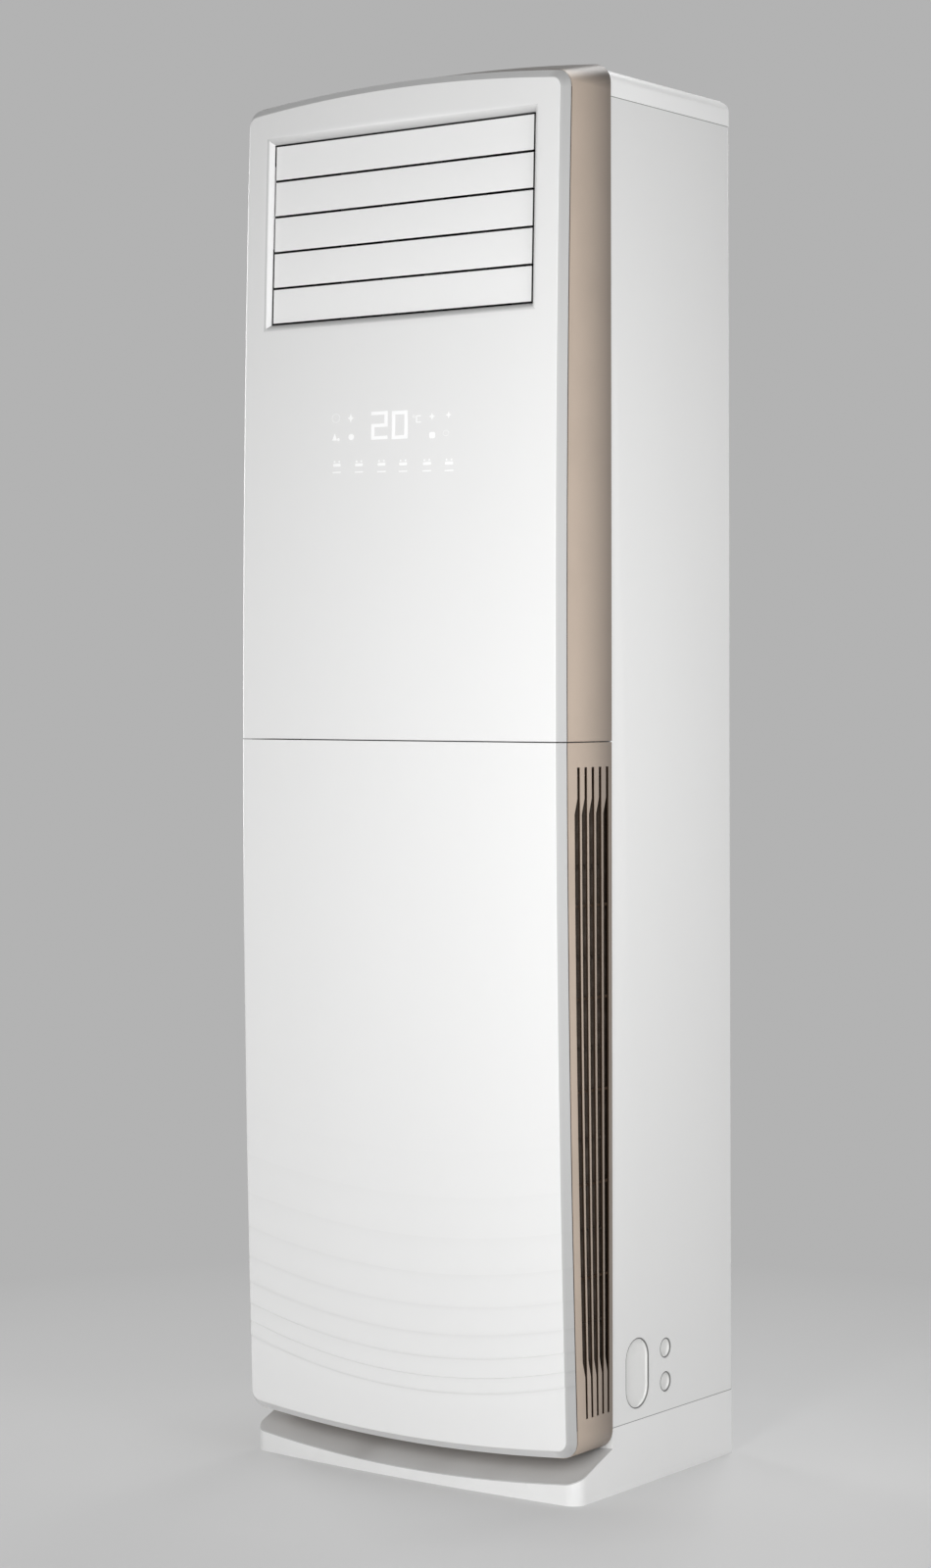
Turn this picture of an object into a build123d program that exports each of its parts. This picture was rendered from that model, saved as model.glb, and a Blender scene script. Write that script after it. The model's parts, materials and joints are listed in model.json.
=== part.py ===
from build123d import *

import os
from math import atan, cos, degrees, radians, sin, sqrt

os.makedirs("parts", exist_ok=True)

# Floor standing air conditioner, indoor cabinet. Millimetres, Z up, the front
# faces -Y and the origin is the middle of the footprint on the floor.

# ------------------------------------------------------------ sheet cabinet
cabinet_width = 526.0
cabinet_depth = 291.2        # from the trim plane to the rear panel
base_height = 84.0
side_height = 1697.5
cover_height = 36.2
cover_round = 17.0           # side and rear edges of the cap
sheet = 1.2
bend = 3.0                   # outer radius of the folded sheet edges
rear_bend = 5.0              # upright rear corners of the cabinet
front_flange = 25.0
rear_flange = 18.0
screw_head_height = 1.8
screw_head_radius = 4.0
screw_radius = 2.0
screw_length = 9.0
screw_rows = 5               # up each side of the rear panel
field_width = 84.0           # pressed stiffening fields of the rear panel
field_height = 1052.0
field_z = 763.0
field_x = 88.0

# ------------------------------------------------------- front panel and trim
front_reach = 117.0          # crest of the front panel ahead of the trim plane
panel_inset = 0.5            # panel edge inside the outer face of the trim
panel_foot = 61.75           # lower edge at the sides
panel_top = 1801.0           # upper edge at the sides
foot_arch = 14.2             # lower edge bows down at the middle
top_arch = 13.9              # upper edge bows up at the middle
panel_corner = 22.0
panel_bevel = 10.0
panel_wall = 3.0
bevel_edge = 1.0             # plain edge behind the bevel
plan_crown = 5.1             # the face is this much prouder at its middle
top_setback = 12.5           # the crest leans back at the top
foot_setback = 22.5          # and more at the foot
rim_inset = 2.8
rim_wall = 2.5
rim_depth = 14.0
ripple_count = 10            # arcs of the shallow wave relief at the foot
ripple_rise = 73.0           # first arc above the foot of the panel
ripple_step = 16.6
ripple_growth = 2.7          # the arcs spread further apart upwards
ripple_radius = 950.0
ripple_spread = 1.07         # the arcs flatten upwards
ripple_width = 5.0
ripple_depth = 0.6
ripple_margin = 3.0          # the arcs end this far inside the bevel
seam_z = 953.75              # upper and lower front meet here
seam_gap = 1.5
trim_overhang = 2.0          # trim stands this much outside the side panels
trim_foot = 60.0
trim_foot_arch = 10.5
trim_step = 1.2              # front edge of the trim above the panel edge
trim_rise = 20.0             # its top rises this much towards the cabinet
trim_top_arch = 14.2
trim_corner = 26.0
trim_wall = 3.0
trim_rear_round = 1.8
trim_flange = 15.0
trim_flange_wall = 2.5
reveal = 1.5                 # dark line between panel and trim

# ------------------------------------------------------------- intake grille
grille_slots = 5
grille_foot = 107.0
grille_top = 922.0
grille_front_margin = 15.5   # first slot behind the front edge of the trim
grille_rear_margin = 8.3
grille_fin = 3.2
narrow_length_foot = 52.0    # slots are half as wide near their ends
narrow_length_top = 39.0
narrow_taper = 20.0
cross_ribs = 5
cross_rib_pitch = 116.5
cross_rib_height = 3.0
cross_rib_depth = 4.0

# ------------------------------------------------------------ air outlet
outlet_margin = 50.0         # outlet to the edge of the front panel
outlet_height = 244.6
outlet_z = 1630.0
outlet_setback = 17.3        # louver plane behind the crest of the panel
outlet_lean = 0.03           # the louver plane follows the leaning face
recess_depth = 8.8
recess_side = 10.0
recess_top = 9.4
recess_foot = 8.6
duct_wall = 3.0
duct_rear_gap = 26.8         # duct reaches this far behind the front bulkhead
louver_count = 5
louver_gap = 2.4
louver_side_gap = 1.5
louver_thick = 4.0
louver_pivot = 8.0           # pivot behind the louver face
louver_pin = 3.0
louver_ear = 3.0
crank_arm = 14.0
crank_thick = 3.0
crank_width = 9.0
crank_pin = 2.0
crank_gap = 1.5
link_gap = 0.3
link_thick = 3.2
running_fit = 0.05
link_fit = 0.1
vane_count = 6
vane_thick = 2.5
vane_front = 24.0            # blade ahead of its pivot
vane_rear = 30.0
vane_end_gap = 6.0
vane_pin = 2.5
vane_setback = 61.7          # vane pivots behind the louver pivots
stepper_radius = 14.0
stepper_length = 17.5
stepper_reach = 6.0          # driven pin enters the stepper this far
stepper_offset = 8.0         # its can sits behind its shaft

# --------------------------------------------------------- fan and coil
deck_z = 950.0
fan_z = 430.0
wheel_length = 100.0
wheel_ring = 3.0             # thickness of the front ring and of the disc
blade_count = 36
blade_depth = 26.0
blade_thick = 1.4
hub_radius = 20.0
hub_length = 30.0
nut_length = 8.0
motor_seat = 8.0             # flange of the motor behind the scroll
motor_round = 4.0
motor_arm = 18.0
shaft_radius = 6.0
scroll_side_gap = 11.8       # scroll outlet to the right side panel
scroll_clearance = 20.0      # wheel to the tongue of the scroll
scroll_growth = 24.0         # each quarter of the scroll is this much larger
scroll_front_y = 28.0
scroll_depth = 122.0
scroll_lip = 6.0
tongue_radius = 14.0
eye_step = 4.0               # the inlet is this much smaller than the blades
motor_radius = 56.0
motor_length = 46.0
coil_side_space = 48.0       # pipes and bends beside the coil
coil_thick = 38.0
coil_foot_y = 5.0
coil_foot_rise = 50.0        # foot of the coil above the deck
coil_top_y = 165.0
coil_top_gap = 41.5          # top of the coil below the cover
end_plate = 1.5
return_bend_count = 9
return_bend_pitch = 38.0
feeder_count = 6
tube_radius = 4.75
gas_radius = 8.0
header_radius = 9.5
header_offset = 17.5         # header beside the end plate
pipe_gap = 2.0
pan_height = 40.0
pan_wall = 2.5
pan_front_y = -40.0
pan_rear_y = 28.5
pan_end_gap = 8.0
hose_radius = 9.0
hose_offset = 5.0            # hose beside the gas pipe
hose_edge = 1.0              # hose behind the front wall of the pan
pipe_end_z = 190.0
pipe_bend = 14.0

# --------------------------------------------------------------- controls
box_width = 340.0
box_foot = 1010.0
box_height = 275.0
box_depth = 80.0
box_wall = 2.0
display_width = 250.0
display_height = 104.0
display_z = 1347.0
display_depth = 12.0
display_arm = 12.0
board_width = 258.0
board_height = 165.0
board_foot = 82.0
board_thick = 1.6
standoff = 10.0
standoff_radius = 3.0
transformer_side = 40.0
capacitor_radius = 12.0
terminal_count = 5
terminal_pitch = 24.0
terminal_height = 36.0
terminal_depth = 22.0
terminal_foot = 22.0

# --------------------------------------------------------------- base
base_wall = 3.0
base_floor = 5.0
nose_reach = 77.0            # plinth ahead of the trim plane at its corners
nose_crown = 10.0
nose_corner = 20.0
nose_edge = 28.7             # upright front edge at the corners
nose_back = 59.0             # slope meets the trim plane at this height
nose_arch = 10.5
anchor_margin = 48.0         # anchor holes inside the sides
anchor_y = 215.0
base_ribs = 5                # under the nose
anchor_middle_y = 57.5
anchor_radius = 6.0

# ---------------------------------------------------------- pipe knock-outs
knock_depth = 4.0
knock_wall = 1.5
oval_width = 54.0
oval_height = 90.0
oval_y = 58.5                # behind the trim plane
oval_z = 144.0
round_radius = 13.0
round_y = 124.5
round_z = 122.2
round_pitch = 43.5

# ------------------------------------------------------------- air filters
filter_thick = 11.0
filter_frame = 8.0
filter_foot = 110.0
filter_height = 800.0
filter_mesh = 0.8
filter_cells = 7
locating_pin = 4.0
locating_length = 12.0
locating_fit = 0.3
bracket_pitch = 300.0
bracket_z = 1700.0
bracket_radius = 3.0
body_gap = 0.3               # the lift-off front clears the cabinet by this
fit_tolerance = 0.001

# ---------------------------------------------------------- worked-out places
overall_depth = front_reach + cabinet_depth + screw_head_height
crest_plane = -overall_depth / 2
trim_plane = crest_plane + front_reach
rear_plane = trim_plane + cabinet_depth
half_cabinet = cabinet_width / 2
inner_half = half_cabinet - sheet
trim_width = cabinet_width + 2 * trim_overhang
trim_front_top = panel_top + trim_step
trim_top = trim_front_top + trim_rise
panel_width = trim_width - 2 * panel_inset
outlet_width = panel_width - 2 * outlet_margin
coil_width = cabinet_width - 2 * coil_side_space
anchor_x = cabinet_width - 2 * anchor_margin
cover_z = base_height + side_height
bulkhead_y = trim_plane + sheet
bulkhead_rear = bulkhead_y + sheet
outlet_y = crest_plane + outlet_setback
duct_rear = bulkhead_y + duct_rear_gap
duct_half = outlet_width / 2
duct_foot = outlet_z - outlet_height / 2
duct_top = outlet_z + outlet_height / 2
louver_pitch = (outlet_height - louver_gap) / louver_count
louver_half = duct_half - louver_side_gap
louver_height = louver_pitch - louver_gap
vane_y = outlet_y + louver_pivot + vane_setback
vane_pitch = outlet_width / vane_count
middle_louver = louver_count // 2
middle_vane = vane_count // 2 - 1
scroll_back_y = scroll_front_y + scroll_depth
scroll_right = inner_half - scroll_side_gap
wheel_radius = scroll_right - 3 * scroll_growth - scroll_clearance
wheel_eye = wheel_radius - blade_depth
eye_radius = wheel_eye - eye_step
wheel_front = scroll_front_y + (scroll_depth - wheel_length) / 2
wheel_rear = wheel_front + wheel_length
coil_foot_z = deck_z + coil_foot_rise
coil_rise = cover_z - coil_top_gap - coil_foot_z
coil_angle = degrees(atan((coil_top_y - coil_foot_y) / coil_rise))
coil_length = sqrt((coil_top_y - coil_foot_y) ** 2 + coil_rise**2)
deck_top = deck_z + sheet
pan_floor = deck_top + pan_wall
plenum_x = coil_width / 2 + end_plate
gas_x = plenum_x + header_offset
liquid_x = gas_x + header_radius + tube_radius + pipe_gap
hose_x = gas_x + hose_offset
hose_y = pan_front_y + hose_radius + hose_edge
hose_drop_x = hose_x + hose_radius
outlet_plane = Plane(
    origin=(0, outlet_y, outlet_z), x_dir=(1, 0, 0), z_dir=(0, -1, outlet_lean)
)


# ------------------------------------------------------------------ helpers
def block(x_from, x_to, y_from, y_to, z_from, z_to):
    """A box between two corners."""
    middle = Pos((x_from + x_to) / 2, (y_from + y_to) / 2, (z_from + z_to) / 2)
    return middle * Box(x_to - x_from, y_to - y_from, z_to - z_from)


def prism_x(face, x_from, x_to):
    """Extrude a face drawn in (y, z) along X."""
    return extrude(Pos(x_from, 0, 0) * (Plane.YZ * face), amount=x_to - x_from)


def prism_y(face, y_from, y_to):
    """Extrude a face drawn in (x, z) along Y."""
    return extrude(Pos(0, y_to, 0) * (Plane.XZ * face), amount=y_to - y_from)


def prism_z(face, z_from, z_to):
    """Extrude a face drawn in (x, y) along Z."""
    return extrude(Pos(0, 0, z_from) * face, amount=z_to - z_from)


def rod_x(radius, x_from, x_to, y, z):
    """A round bar along X."""
    return prism_x(Pos(y, z) * Circle(radius), x_from, x_to)


def rod_y(radius, y_from, y_to, x, z):
    """A round bar along Y."""
    return prism_y(Pos(x, z) * Circle(radius), y_from, y_to)


def rod_z(radius, z_from, z_to, x, y):
    """A round bar along Z."""
    return prism_z(Pos(x, y) * Circle(radius), z_from, z_to)


def rectangle(x_from, x_to, y_from, y_to):
    """A flat rectangle between two corners."""
    middle = Pos((x_from + x_to) / 2, (y_from + y_to) / 2)
    return middle * Rectangle(x_to - x_from, y_to - y_from)


def both_sides(half_body):
    """Add the mirror image across the middle plane of the unit."""
    return half_body + mirror(half_body, about=Plane.YZ)


def pipe(points, radius, bend_radius):
    """A round pipe along straight runs with tangent bends."""
    straight = len(points) == 2
    path = Line(*points) if straight else FilletPolyline(*points, radius=bend_radius)
    start = Plane(origin=path @ 0, z_dir=path % 0)
    return sweep(start * Circle(radius), path=path)


def save(name, shape):
    """Write one sub-part to its own STEP file."""
    export_step(shape, f"parts/{name}.step")


# ---------------------------------------------------- curved front of the unit
def face_y(z):
    """Y of the crest line of the front panel at a height, on one large arc."""
    low_z = panel_foot - foot_arch
    high_z = panel_top + top_arch
    middle_z = (low_z + high_z) / 2
    low = (foot_setback, low_z - middle_z)
    high = (top_setback, high_z - middle_z)
    pull = [(y * y + s * s) / 2 for y, s in (low, high)]
    turn = low[0] * high[1] - high[0] * low[1]
    centre_y = (pull[0] * high[1] - pull[1] * low[1]) / turn
    centre_z = (low[0] * pull[1] - high[0] * pull[0]) / turn
    radius = sqrt(centre_y * centre_y + centre_z * centre_z)
    return crest_plane + centre_y - sqrt(radius**2 - (z - middle_z - centre_z) ** 2)


def crest_arc(depth):
    """The crest line as an arc in (y, z), moved back by a depth."""
    low = panel_foot - foot_arch - 3 * panel_corner
    high = trim_top + trim_top_arch + 3 * panel_corner
    middle = (low + high) / 2
    ends = [(face_y(z) + depth, z) for z in (low, middle, high)]
    return ThreePointArc(*ends)


def half_layer(depth, thickness):
    """Right half of a layer that follows the doubly curved front face."""
    front = crest_arc(depth)
    back = crest_arc(depth + thickness)
    profile = make_face([front, Line(front @ 1, back @ 1), back, Line(back @ 0, front @ 0)])
    half = panel_width / 2
    sweep_radius = (half**2 + plan_crown**2) / (2 * plan_crown)
    turn_axis = Axis((0, crest_plane + sweep_radius, 0), (0, 0, 1))
    return revolve(Plane.YZ * profile, turn_axis, 4)


def half_outline(half, foot, top, foot_bow, top_bow, corner, inset):
    """Right half of an upright outline with bowed ends, drawn in (x, z)."""
    side = half - inset
    low = foot + inset
    high = top - inset
    foot_line = TangentArc((0, low - foot_bow), (side, low), tangent=(1, 0))
    top_line = TangentArc((0, high + top_bow), (side, high), tangent=(1, 0))
    edges = [
        foot_line,
        Line((side, low), (side, high)),
        top_line,
        Line((0, high + top_bow), (0, low - foot_bow)),
    ]
    face = make_face(edges)
    corners = face.vertices().filter_by(lambda v: v.X > side / 2)
    return fillet(corners, corner - inset)


def panel_outline(inset):
    """Half outline of the front panel, drawn in from its edge."""
    return half_outline(
        panel_width / 2, panel_foot, panel_top, foot_arch, top_arch, panel_corner, inset
    )


def trim_outline(top, inset):
    """Half outline of the trim with its top at a height, drawn in from its outer face."""
    return half_outline(
        trim_width / 2, trim_foot, top, trim_foot_arch, trim_top_arch, trim_corner, inset
    )


def rim_outline(inset):
    """Half outline of the return rim, inside both the panel edge and the trim."""
    inside = trim_outline(trim_front_top, trim_wall + 2 * body_gap + inset)
    return inside & panel_outline(rim_inset + inset)


def half_face_slab(depth, thickness, inset, bevel):
    """Right half of a bevelled slab behind the front face."""
    prism = prism_y(panel_outline(inset), crest_plane - front_reach, trim_plane)
    slab = half_layer(depth, thickness) & prism
    front = slab.faces().sort_by(Axis.Y)[0]
    rim = front.edges().filter_by(lambda e: e.center().X > 1)
    return chamfer(rim, bevel)


def half_front_shell():
    """Right half of the whole front shell, before it is split at the seam."""
    depth = panel_bevel + bevel_edge
    inner_inset = rim_inset + rim_wall
    inner_bevel = panel_bevel - inner_inset + panel_wall * (2 - sqrt(2))
    shell = half_face_slab(0, depth, 0, panel_bevel)
    shell -= half_face_slab(panel_wall, depth, inner_inset, inner_bevel)
    rim = prism_y(rim_outline(0) - rim_outline(rim_wall), crest_plane - front_reach, trim_plane)
    rim &= half_face_slab(0, depth - panel_wall + rim_depth, 0, panel_bevel)
    return shell + rim


def above_seam():
    """The space above the seam."""
    return block(
        -trim_width, trim_width, -overall_depth, trim_plane, seam_z + seam_gap / 2, 2 * cover_z
    )


def below_seam():
    """The space below the seam."""
    return block(-trim_width, trim_width, -overall_depth, trim_plane, 0, seam_z - seam_gap / 2)


def recess_cone(wall):
    """The bevelled mouth of the outlet, from the louver plane outwards."""
    reach = 2.5
    base = Rectangle(outlet_width + 2 * wall, outlet_height + 2 * wall)
    wide = outlet_width + 2 * (wall + reach * recess_side)
    tall = outlet_height + 2 * wall + reach * (recess_top + recess_foot)
    shift = reach * (recess_top - recess_foot) / 2
    mouth = Pos(0, shift) * Rectangle(wide, tall)
    ends = [outlet_plane * base, outlet_plane.offset(reach * recess_depth) * mouth]
    return loft(ends, ruled=True)


def upper_front_panel():
    """Upper panel with the bevelled recess of the air outlet."""
    panel = both_sides(half_front_shell() & above_seam())
    filled = both_sides(half_face_slab(0, 3 * recess_depth, 0, panel_bevel))
    lining = recess_cone(panel_wall * 1.3) & filled
    return panel - recess_cone(panel_wall * 0.5) + lining - recess_cone(0)


def ripple_band(index):
    """One arc of the wave relief, drawn in (x, z)."""
    rise = ripple_step * index + ripple_growth * index**2
    radius = ripple_radius + ripple_spread * rise
    middle = panel_foot - foot_arch + ripple_rise + rise + radius
    half = ripple_width / 2
    return Pos(0, middle) * (Circle(radius + half) - Circle(radius - half))


def half_ripples():
    """Right half of the grooves, which get shallower upwards."""
    field = panel_outline(panel_bevel + ripple_margin)
    grooves = []
    for index in range(ripple_count):
        band = ripple_band(index) & field
        prism = prism_y(band, crest_plane - front_reach, trim_plane)
        depth = ripple_depth * (1 - index / (2 * ripple_count))
        grooves.append(half_layer(0, depth) & prism)
    return grooves


def lower_front_panel():
    """Lower panel with its wave relief, which lifts off with the intake trim."""
    half = half_front_shell() & below_seam()
    for groove in half_ripples():
        half -= groove
    return both_sides(half)


# --------------------------------------------------------------- trims
def half_trim_prism(inset, slope):
    """Right half of the space of the trim, which falls forwards by a slope."""
    face = Pos(0, trim_plane, 0) * (Plane.XZ * trim_outline(trim_top, inset))
    return extrude(face, amount=2 * front_reach, dir=(0, -1, -slope))


def half_trim_band(slope):
    """Right half of the trim around the front, before it is split."""
    depth = panel_bevel + bevel_edge + reveal
    outer = half_trim_prism(0, slope)
    rear = outer.faces().sort_by(Axis.Y)[-1]
    rear_edges = rear.edges().filter_by(lambda e: e.center().X > 1)
    outer = fillet(rear_edges, trim_rear_round)
    band = outer - half_trim_prism(trim_wall, slope)
    band &= half_layer(depth, front_reach + plan_crown)
    opening = trim_outline(trim_top, trim_wall + trim_flange)
    opening &= rectangle(0, trim_width, 0, cover_z + cover_height - trim_flange)
    flange_face = trim_outline(trim_top, trim_wall / 2) - opening
    return band + prism_y(flange_face, trim_plane - trim_flange_wall, trim_plane)


def trim_edge_y(z):
    """Y of the front edge of the trim beside the cabinet."""
    return face_y(z) + plan_crown + panel_bevel + bevel_edge + reveal


def fan_y(share, z):
    """Y of a line that fans from the straight rear to the curved front."""
    front = trim_edge_y(z) + grille_front_margin - reveal
    rear = trim_plane - grille_rear_margin
    return front + share * (rear - front)


def fan_arc(share, z_from, z_to):
    """One line of the fan between two heights."""
    heights = (z_from, (z_from + z_to) / 2, z_to)
    points = [(fan_y(share, z), z) for z in heights]
    straight = abs(points[0][0] - points[2][0]) < fit_tolerance
    return Line(points[0], points[2]) if straight else ThreePointArc(*points)


def grille_slot(index):
    """One slot, drawn in (y, z): full width in the middle, half at its ends."""
    span = trim_plane - grille_rear_margin - fan_y(0, seam_z / 2)
    fin = grille_fin / (span + grille_fin)
    pitch = (1 + fin) / grille_slots
    front = index * pitch
    rear = front + pitch - fin
    middle = (front + rear) / 2
    foot_full = grille_foot + narrow_length_foot + narrow_taper
    top_full = grille_top - narrow_length_top - narrow_taper
    rear_line = fan_arc(rear, grille_foot, grille_top)
    top_narrow = fan_arc(middle, grille_top, grille_top - narrow_length_top)
    wide = fan_arc(front, top_full, foot_full)
    foot_narrow = fan_arc(middle, grille_foot + narrow_length_foot, grille_foot)
    edges = [
        rear_line,
        Line(rear_line @ 1, top_narrow @ 0),
        top_narrow,
        Line(top_narrow @ 1, wide @ 0),
        wide,
        Line(wide @ 1, foot_narrow @ 0),
        foot_narrow,
        Line(foot_narrow @ 1, rear_line @ 0),
    ]
    return make_face(edges)


def cross_rib(index):
    """One rib behind the fins of the grille."""
    z = (grille_foot + grille_top) / 2 + (index - (cross_ribs - 1) / 2) * cross_rib_pitch
    half = trim_width / 2 - trim_wall
    front = fan_y(0, z) - grille_fin
    rear = trim_plane - trim_flange_wall
    low = z - cross_rib_height / 2
    return block(half - cross_rib_depth, half, front, rear, low, low + cross_rib_height)


def locating_pins():
    """Two pins of one side that find their holes in the side panel."""
    x = trim_width / 2 - trim_wall - trim_flange / 2
    pins = [
        rod_y(locating_pin, trim_plane - trim_flange_wall, trim_plane + locating_length, x, z)
        for z in (grille_foot + 2 * panel_corner, grille_top - panel_corner)
    ]
    return pins[0] + pins[1]


def upper_trim():
    """Trim around the upper panel, whose top rises towards the cabinet."""
    slope = trim_rise / (trim_plane - trim_edge_y(trim_front_top))
    return both_sides(half_trim_band(slope) & above_seam())


def lower_trim():
    """Trim around the lower panel, with the intake grille in both sides."""
    half = half_trim_band(0) & below_seam()
    outer = trim_width / 2
    for index in range(grille_slots):
        half -= prism_x(grille_slot(index), outer - 2 * trim_wall, outer + trim_wall)
    for index in range(cross_ribs):
        half += cross_rib(index)
    half += locating_pins()
    return Pos(0, -body_gap, 0) * both_sides(half)


def air_filter(side):
    """Washable filter behind one side grille: a frame, its bars and mesh."""
    outer = trim_width / 2 - trim_wall - cross_rib_depth - body_gap
    inner = outer - filter_thick
    low = filter_foot
    high = filter_foot + filter_height
    rear = trim_plane - trim_flange_wall - 2 * body_gap
    front_gap = panel_wall * 3
    outline = make_face(
        Polyline(
            (rear, low),
            (rear, high),
            (trim_edge_y(high) + front_gap, high),
            (trim_edge_y(low) + front_gap, low),
            close=True,
        )
    )
    opening = offset(outline, -filter_frame)
    frame = prism_x(outline - opening, inner, outer)
    mesh_x = (inner + outer) / 2
    mesh = prism_x(outline, mesh_x - filter_mesh / 2, mesh_x + filter_mesh / 2)
    frame += mesh
    step = filter_height / filter_cells
    for index in range(1, filter_cells):
        z = low + index * step
        bar = block(inner, outer, trim_edge_y(z) + front_gap, rear, z - 1.5, z + 1.5)
        frame += bar & prism_x(outline, inner, outer)
    return frame if side > 0 else mirror(frame, about=Plane.YZ)


# --------------------------------------------------------------- casing
def base_plan(inset):
    """Plan of the plinth: bowed, rounded front and nearly square rear."""
    half = half_cabinet - inset
    front = trim_plane - nose_reach + inset
    rear = rear_plane - inset
    bow = ThreePointArc((-half, front), (0, front - nose_crown), (half, front))
    edges = [bow, Line((half, front), (half, rear)), Line((half, rear), (-half, rear))]
    face = make_face(edges + [Line((-half, rear), (-half, front))])
    front_corners = face.vertices().sort_by(Axis.Y)[:2]
    face = fillet(front_corners, nose_corner - inset)
    rear_corners = face.vertices().sort_by(Axis.Y)[-2:]
    return fillet(rear_corners, rear_bend - inset)


def above_slope(lower_by):
    """The space above the sloping top of the nose."""
    half = half_cabinet
    radius = (half**2 + nose_arch**2) / (2 * nose_arch)
    wide = 1.2 * half
    rise = radius - sqrt(radius**2 - wide**2)
    low = nose_back - nose_arch - lower_by
    bow = ThreePointArc((-wide, low + rise), (0, low), (wide, low + rise))
    high = 2 * base_height
    edges = [bow, Line(bow @ 1, (wide, high)), Line((wide, high), (-wide, high))]
    face = Pos(0, trim_plane, 0) * (Plane.XZ * make_face(edges + [Line((-wide, high), bow @ 0)]))
    fall = (nose_back - nose_edge) / nose_reach
    return extrude(face, amount=2 * nose_reach, dir=(0, -1, -fall))


def base():
    """Moulded plinth: pan for the cabinet and a sloping nose in front."""
    outer = prism_z(base_plan(0), 0, base_height) - above_slope(0)
    pan = prism_z(base_plan(base_wall), base_floor, 2 * base_height)
    pan_front = trim_plane + base_wall
    pan &= block(-half_cabinet, half_cabinet, pan_front, rear_plane, 0, cabinet_depth)
    body = outer - pan
    hollow = prism_z(base_plan(base_wall), -base_floor, base_height) - above_slope(base_wall)
    nose_rear = trim_plane - base_wall
    low = -base_floor
    hollow &= block(-half_cabinet, half_cabinet, -overall_depth, nose_rear, low, base_height)
    rib_pitch = cabinet_width / (base_ribs + 1)
    rib = block(-base_wall / 2, base_wall / 2, -overall_depth, trim_plane, low, base_height)
    for index in range(base_ribs):
        hollow -= Pos((index - (base_ribs - 1) / 2) * rib_pitch, 0, 0) * rib
    body -= hollow
    for x in (-anchor_x / 2, anchor_x / 2):
        for y in (anchor_middle_y - anchor_y / 2, anchor_middle_y + anchor_y / 2):
            body -= rod_z(anchor_radius, low, 2 * base_floor, x, y)
    return body


def knock_holes(grow):
    """Outlines of the pipe knock-outs, drawn in (y, z)."""
    oval = SlotOverall(oval_height + 2 * grow, oval_width + 2 * grow, rotation=90)
    shapes = [Pos(trim_plane + oval_y, oval_z) * oval]
    for z in (round_z, round_z + round_pitch):
        shapes.append(Pos(trim_plane + round_y, z) * Circle(round_radius + grow))
    return shapes


def fold_corners(face, front_radius, rear_radius):
    """Round the two right corners of a plan, the front and the rear one."""
    rear_corner, front_corner = face.vertices().sort_by(Axis.X)[-2:].sort_by(Axis.Y)[::-1]
    face = fillet(front_corner, front_radius)
    rear_corner = face.vertices().sort_by_distance(rear_corner)[0]
    return fillet(rear_corner, rear_radius)


def side_panel(side):
    """Folded sheet side with front and rear flanges and its knock-out holes."""
    depth_rear = rear_plane - sheet
    outline = rectangle(half_cabinet - 4 * front_flange, half_cabinet, trim_plane, depth_rear)
    inside = rectangle(
        half_cabinet - 5 * front_flange, inner_half, trim_plane + sheet, depth_rear - sheet
    )
    section = fold_corners(outline, bend, rear_bend) - fold_corners(
        inside, bend - sheet, rear_bend - sheet
    )
    far = half_cabinet - 6 * front_flange
    front_edge = half_cabinet - front_flange
    section -= rectangle(far, front_edge, trim_plane - bend, trim_plane + bend)
    section -= rectangle(far, half_cabinet - rear_flange, 0, depth_rear + bend)
    body = prism_z(section, base_height, cover_z)
    for hole in knock_holes(0):
        body -= prism_x(hole, inner_half - sheet, half_cabinet + sheet)
    x = trim_width / 2 - trim_wall - trim_flange / 2
    for z in (grille_foot + 2 * panel_corner, grille_top - panel_corner):
        radius = locating_pin + locating_fit
        body -= rod_y(radius, trim_plane - bend, trim_plane + bend, x, z)
    for x, z in rear_screw_places():
        body -= rod_y(screw_radius, depth_rear - bend, rear_plane, x, z)
    return body if side > 0 else mirror(body, about=Plane.YZ)


def knock_outs(side):
    """Recessed blanking dishes that close the pipe holes of one side."""
    dishes = []
    floor_x = half_cabinet - knock_depth
    shapes = [knock_holes(grow) for grow in (-body_gap, -knock_wall, knock_wall)]
    for hole, inner, lip in zip(*shapes):
        hollow = prism_x(inner, floor_x, half_cabinet + sheet)
        dish = prism_x(hole, floor_x - knock_wall, half_cabinet) - hollow
        dish += prism_x(lip, floor_x - knock_wall, inner_half) - hollow
        dishes.append(dish if side > 0 else mirror(dish, about=Plane.YZ))
    return Compound(children=dishes)


def rear_screw_places():
    """Screws of the rear panel, in (x, z), along both of its sides."""
    x = half_cabinet - rear_flange / 2 - sheet
    step = (side_height - 2 * front_flange) / (screw_rows - 1)
    heights = [base_height + front_flange + index * step for index in range(screw_rows)]
    return [(side * x, z) for z in heights for side in (-1, 1)]


def rear_panel():
    """Flat sheet back with two pressed stiffening fields."""
    y_in = rear_plane - sheet
    half = half_cabinet - rear_bend
    body = prism_y(rectangle(-half, half, base_height, cover_z), y_in, rear_plane)
    past = rear_plane + sheet
    field = SlotOverall(field_height, field_width, rotation=90)
    for x in (-field_x, field_x):
        body += prism_y(Pos(x, field_z) * field, y_in - sheet, y_in)
        body -= prism_y(Pos(x, field_z) * offset(field, -sheet), y_in, past)
    for x, z in rear_screw_places():
        body -= rod_y(screw_radius, y_in - sheet, past, x, z)
    for x in (-bracket_pitch / 2, bracket_pitch / 2):
        body -= rod_y(bracket_radius, y_in - sheet, past, x, bracket_z)
    return body


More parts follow.
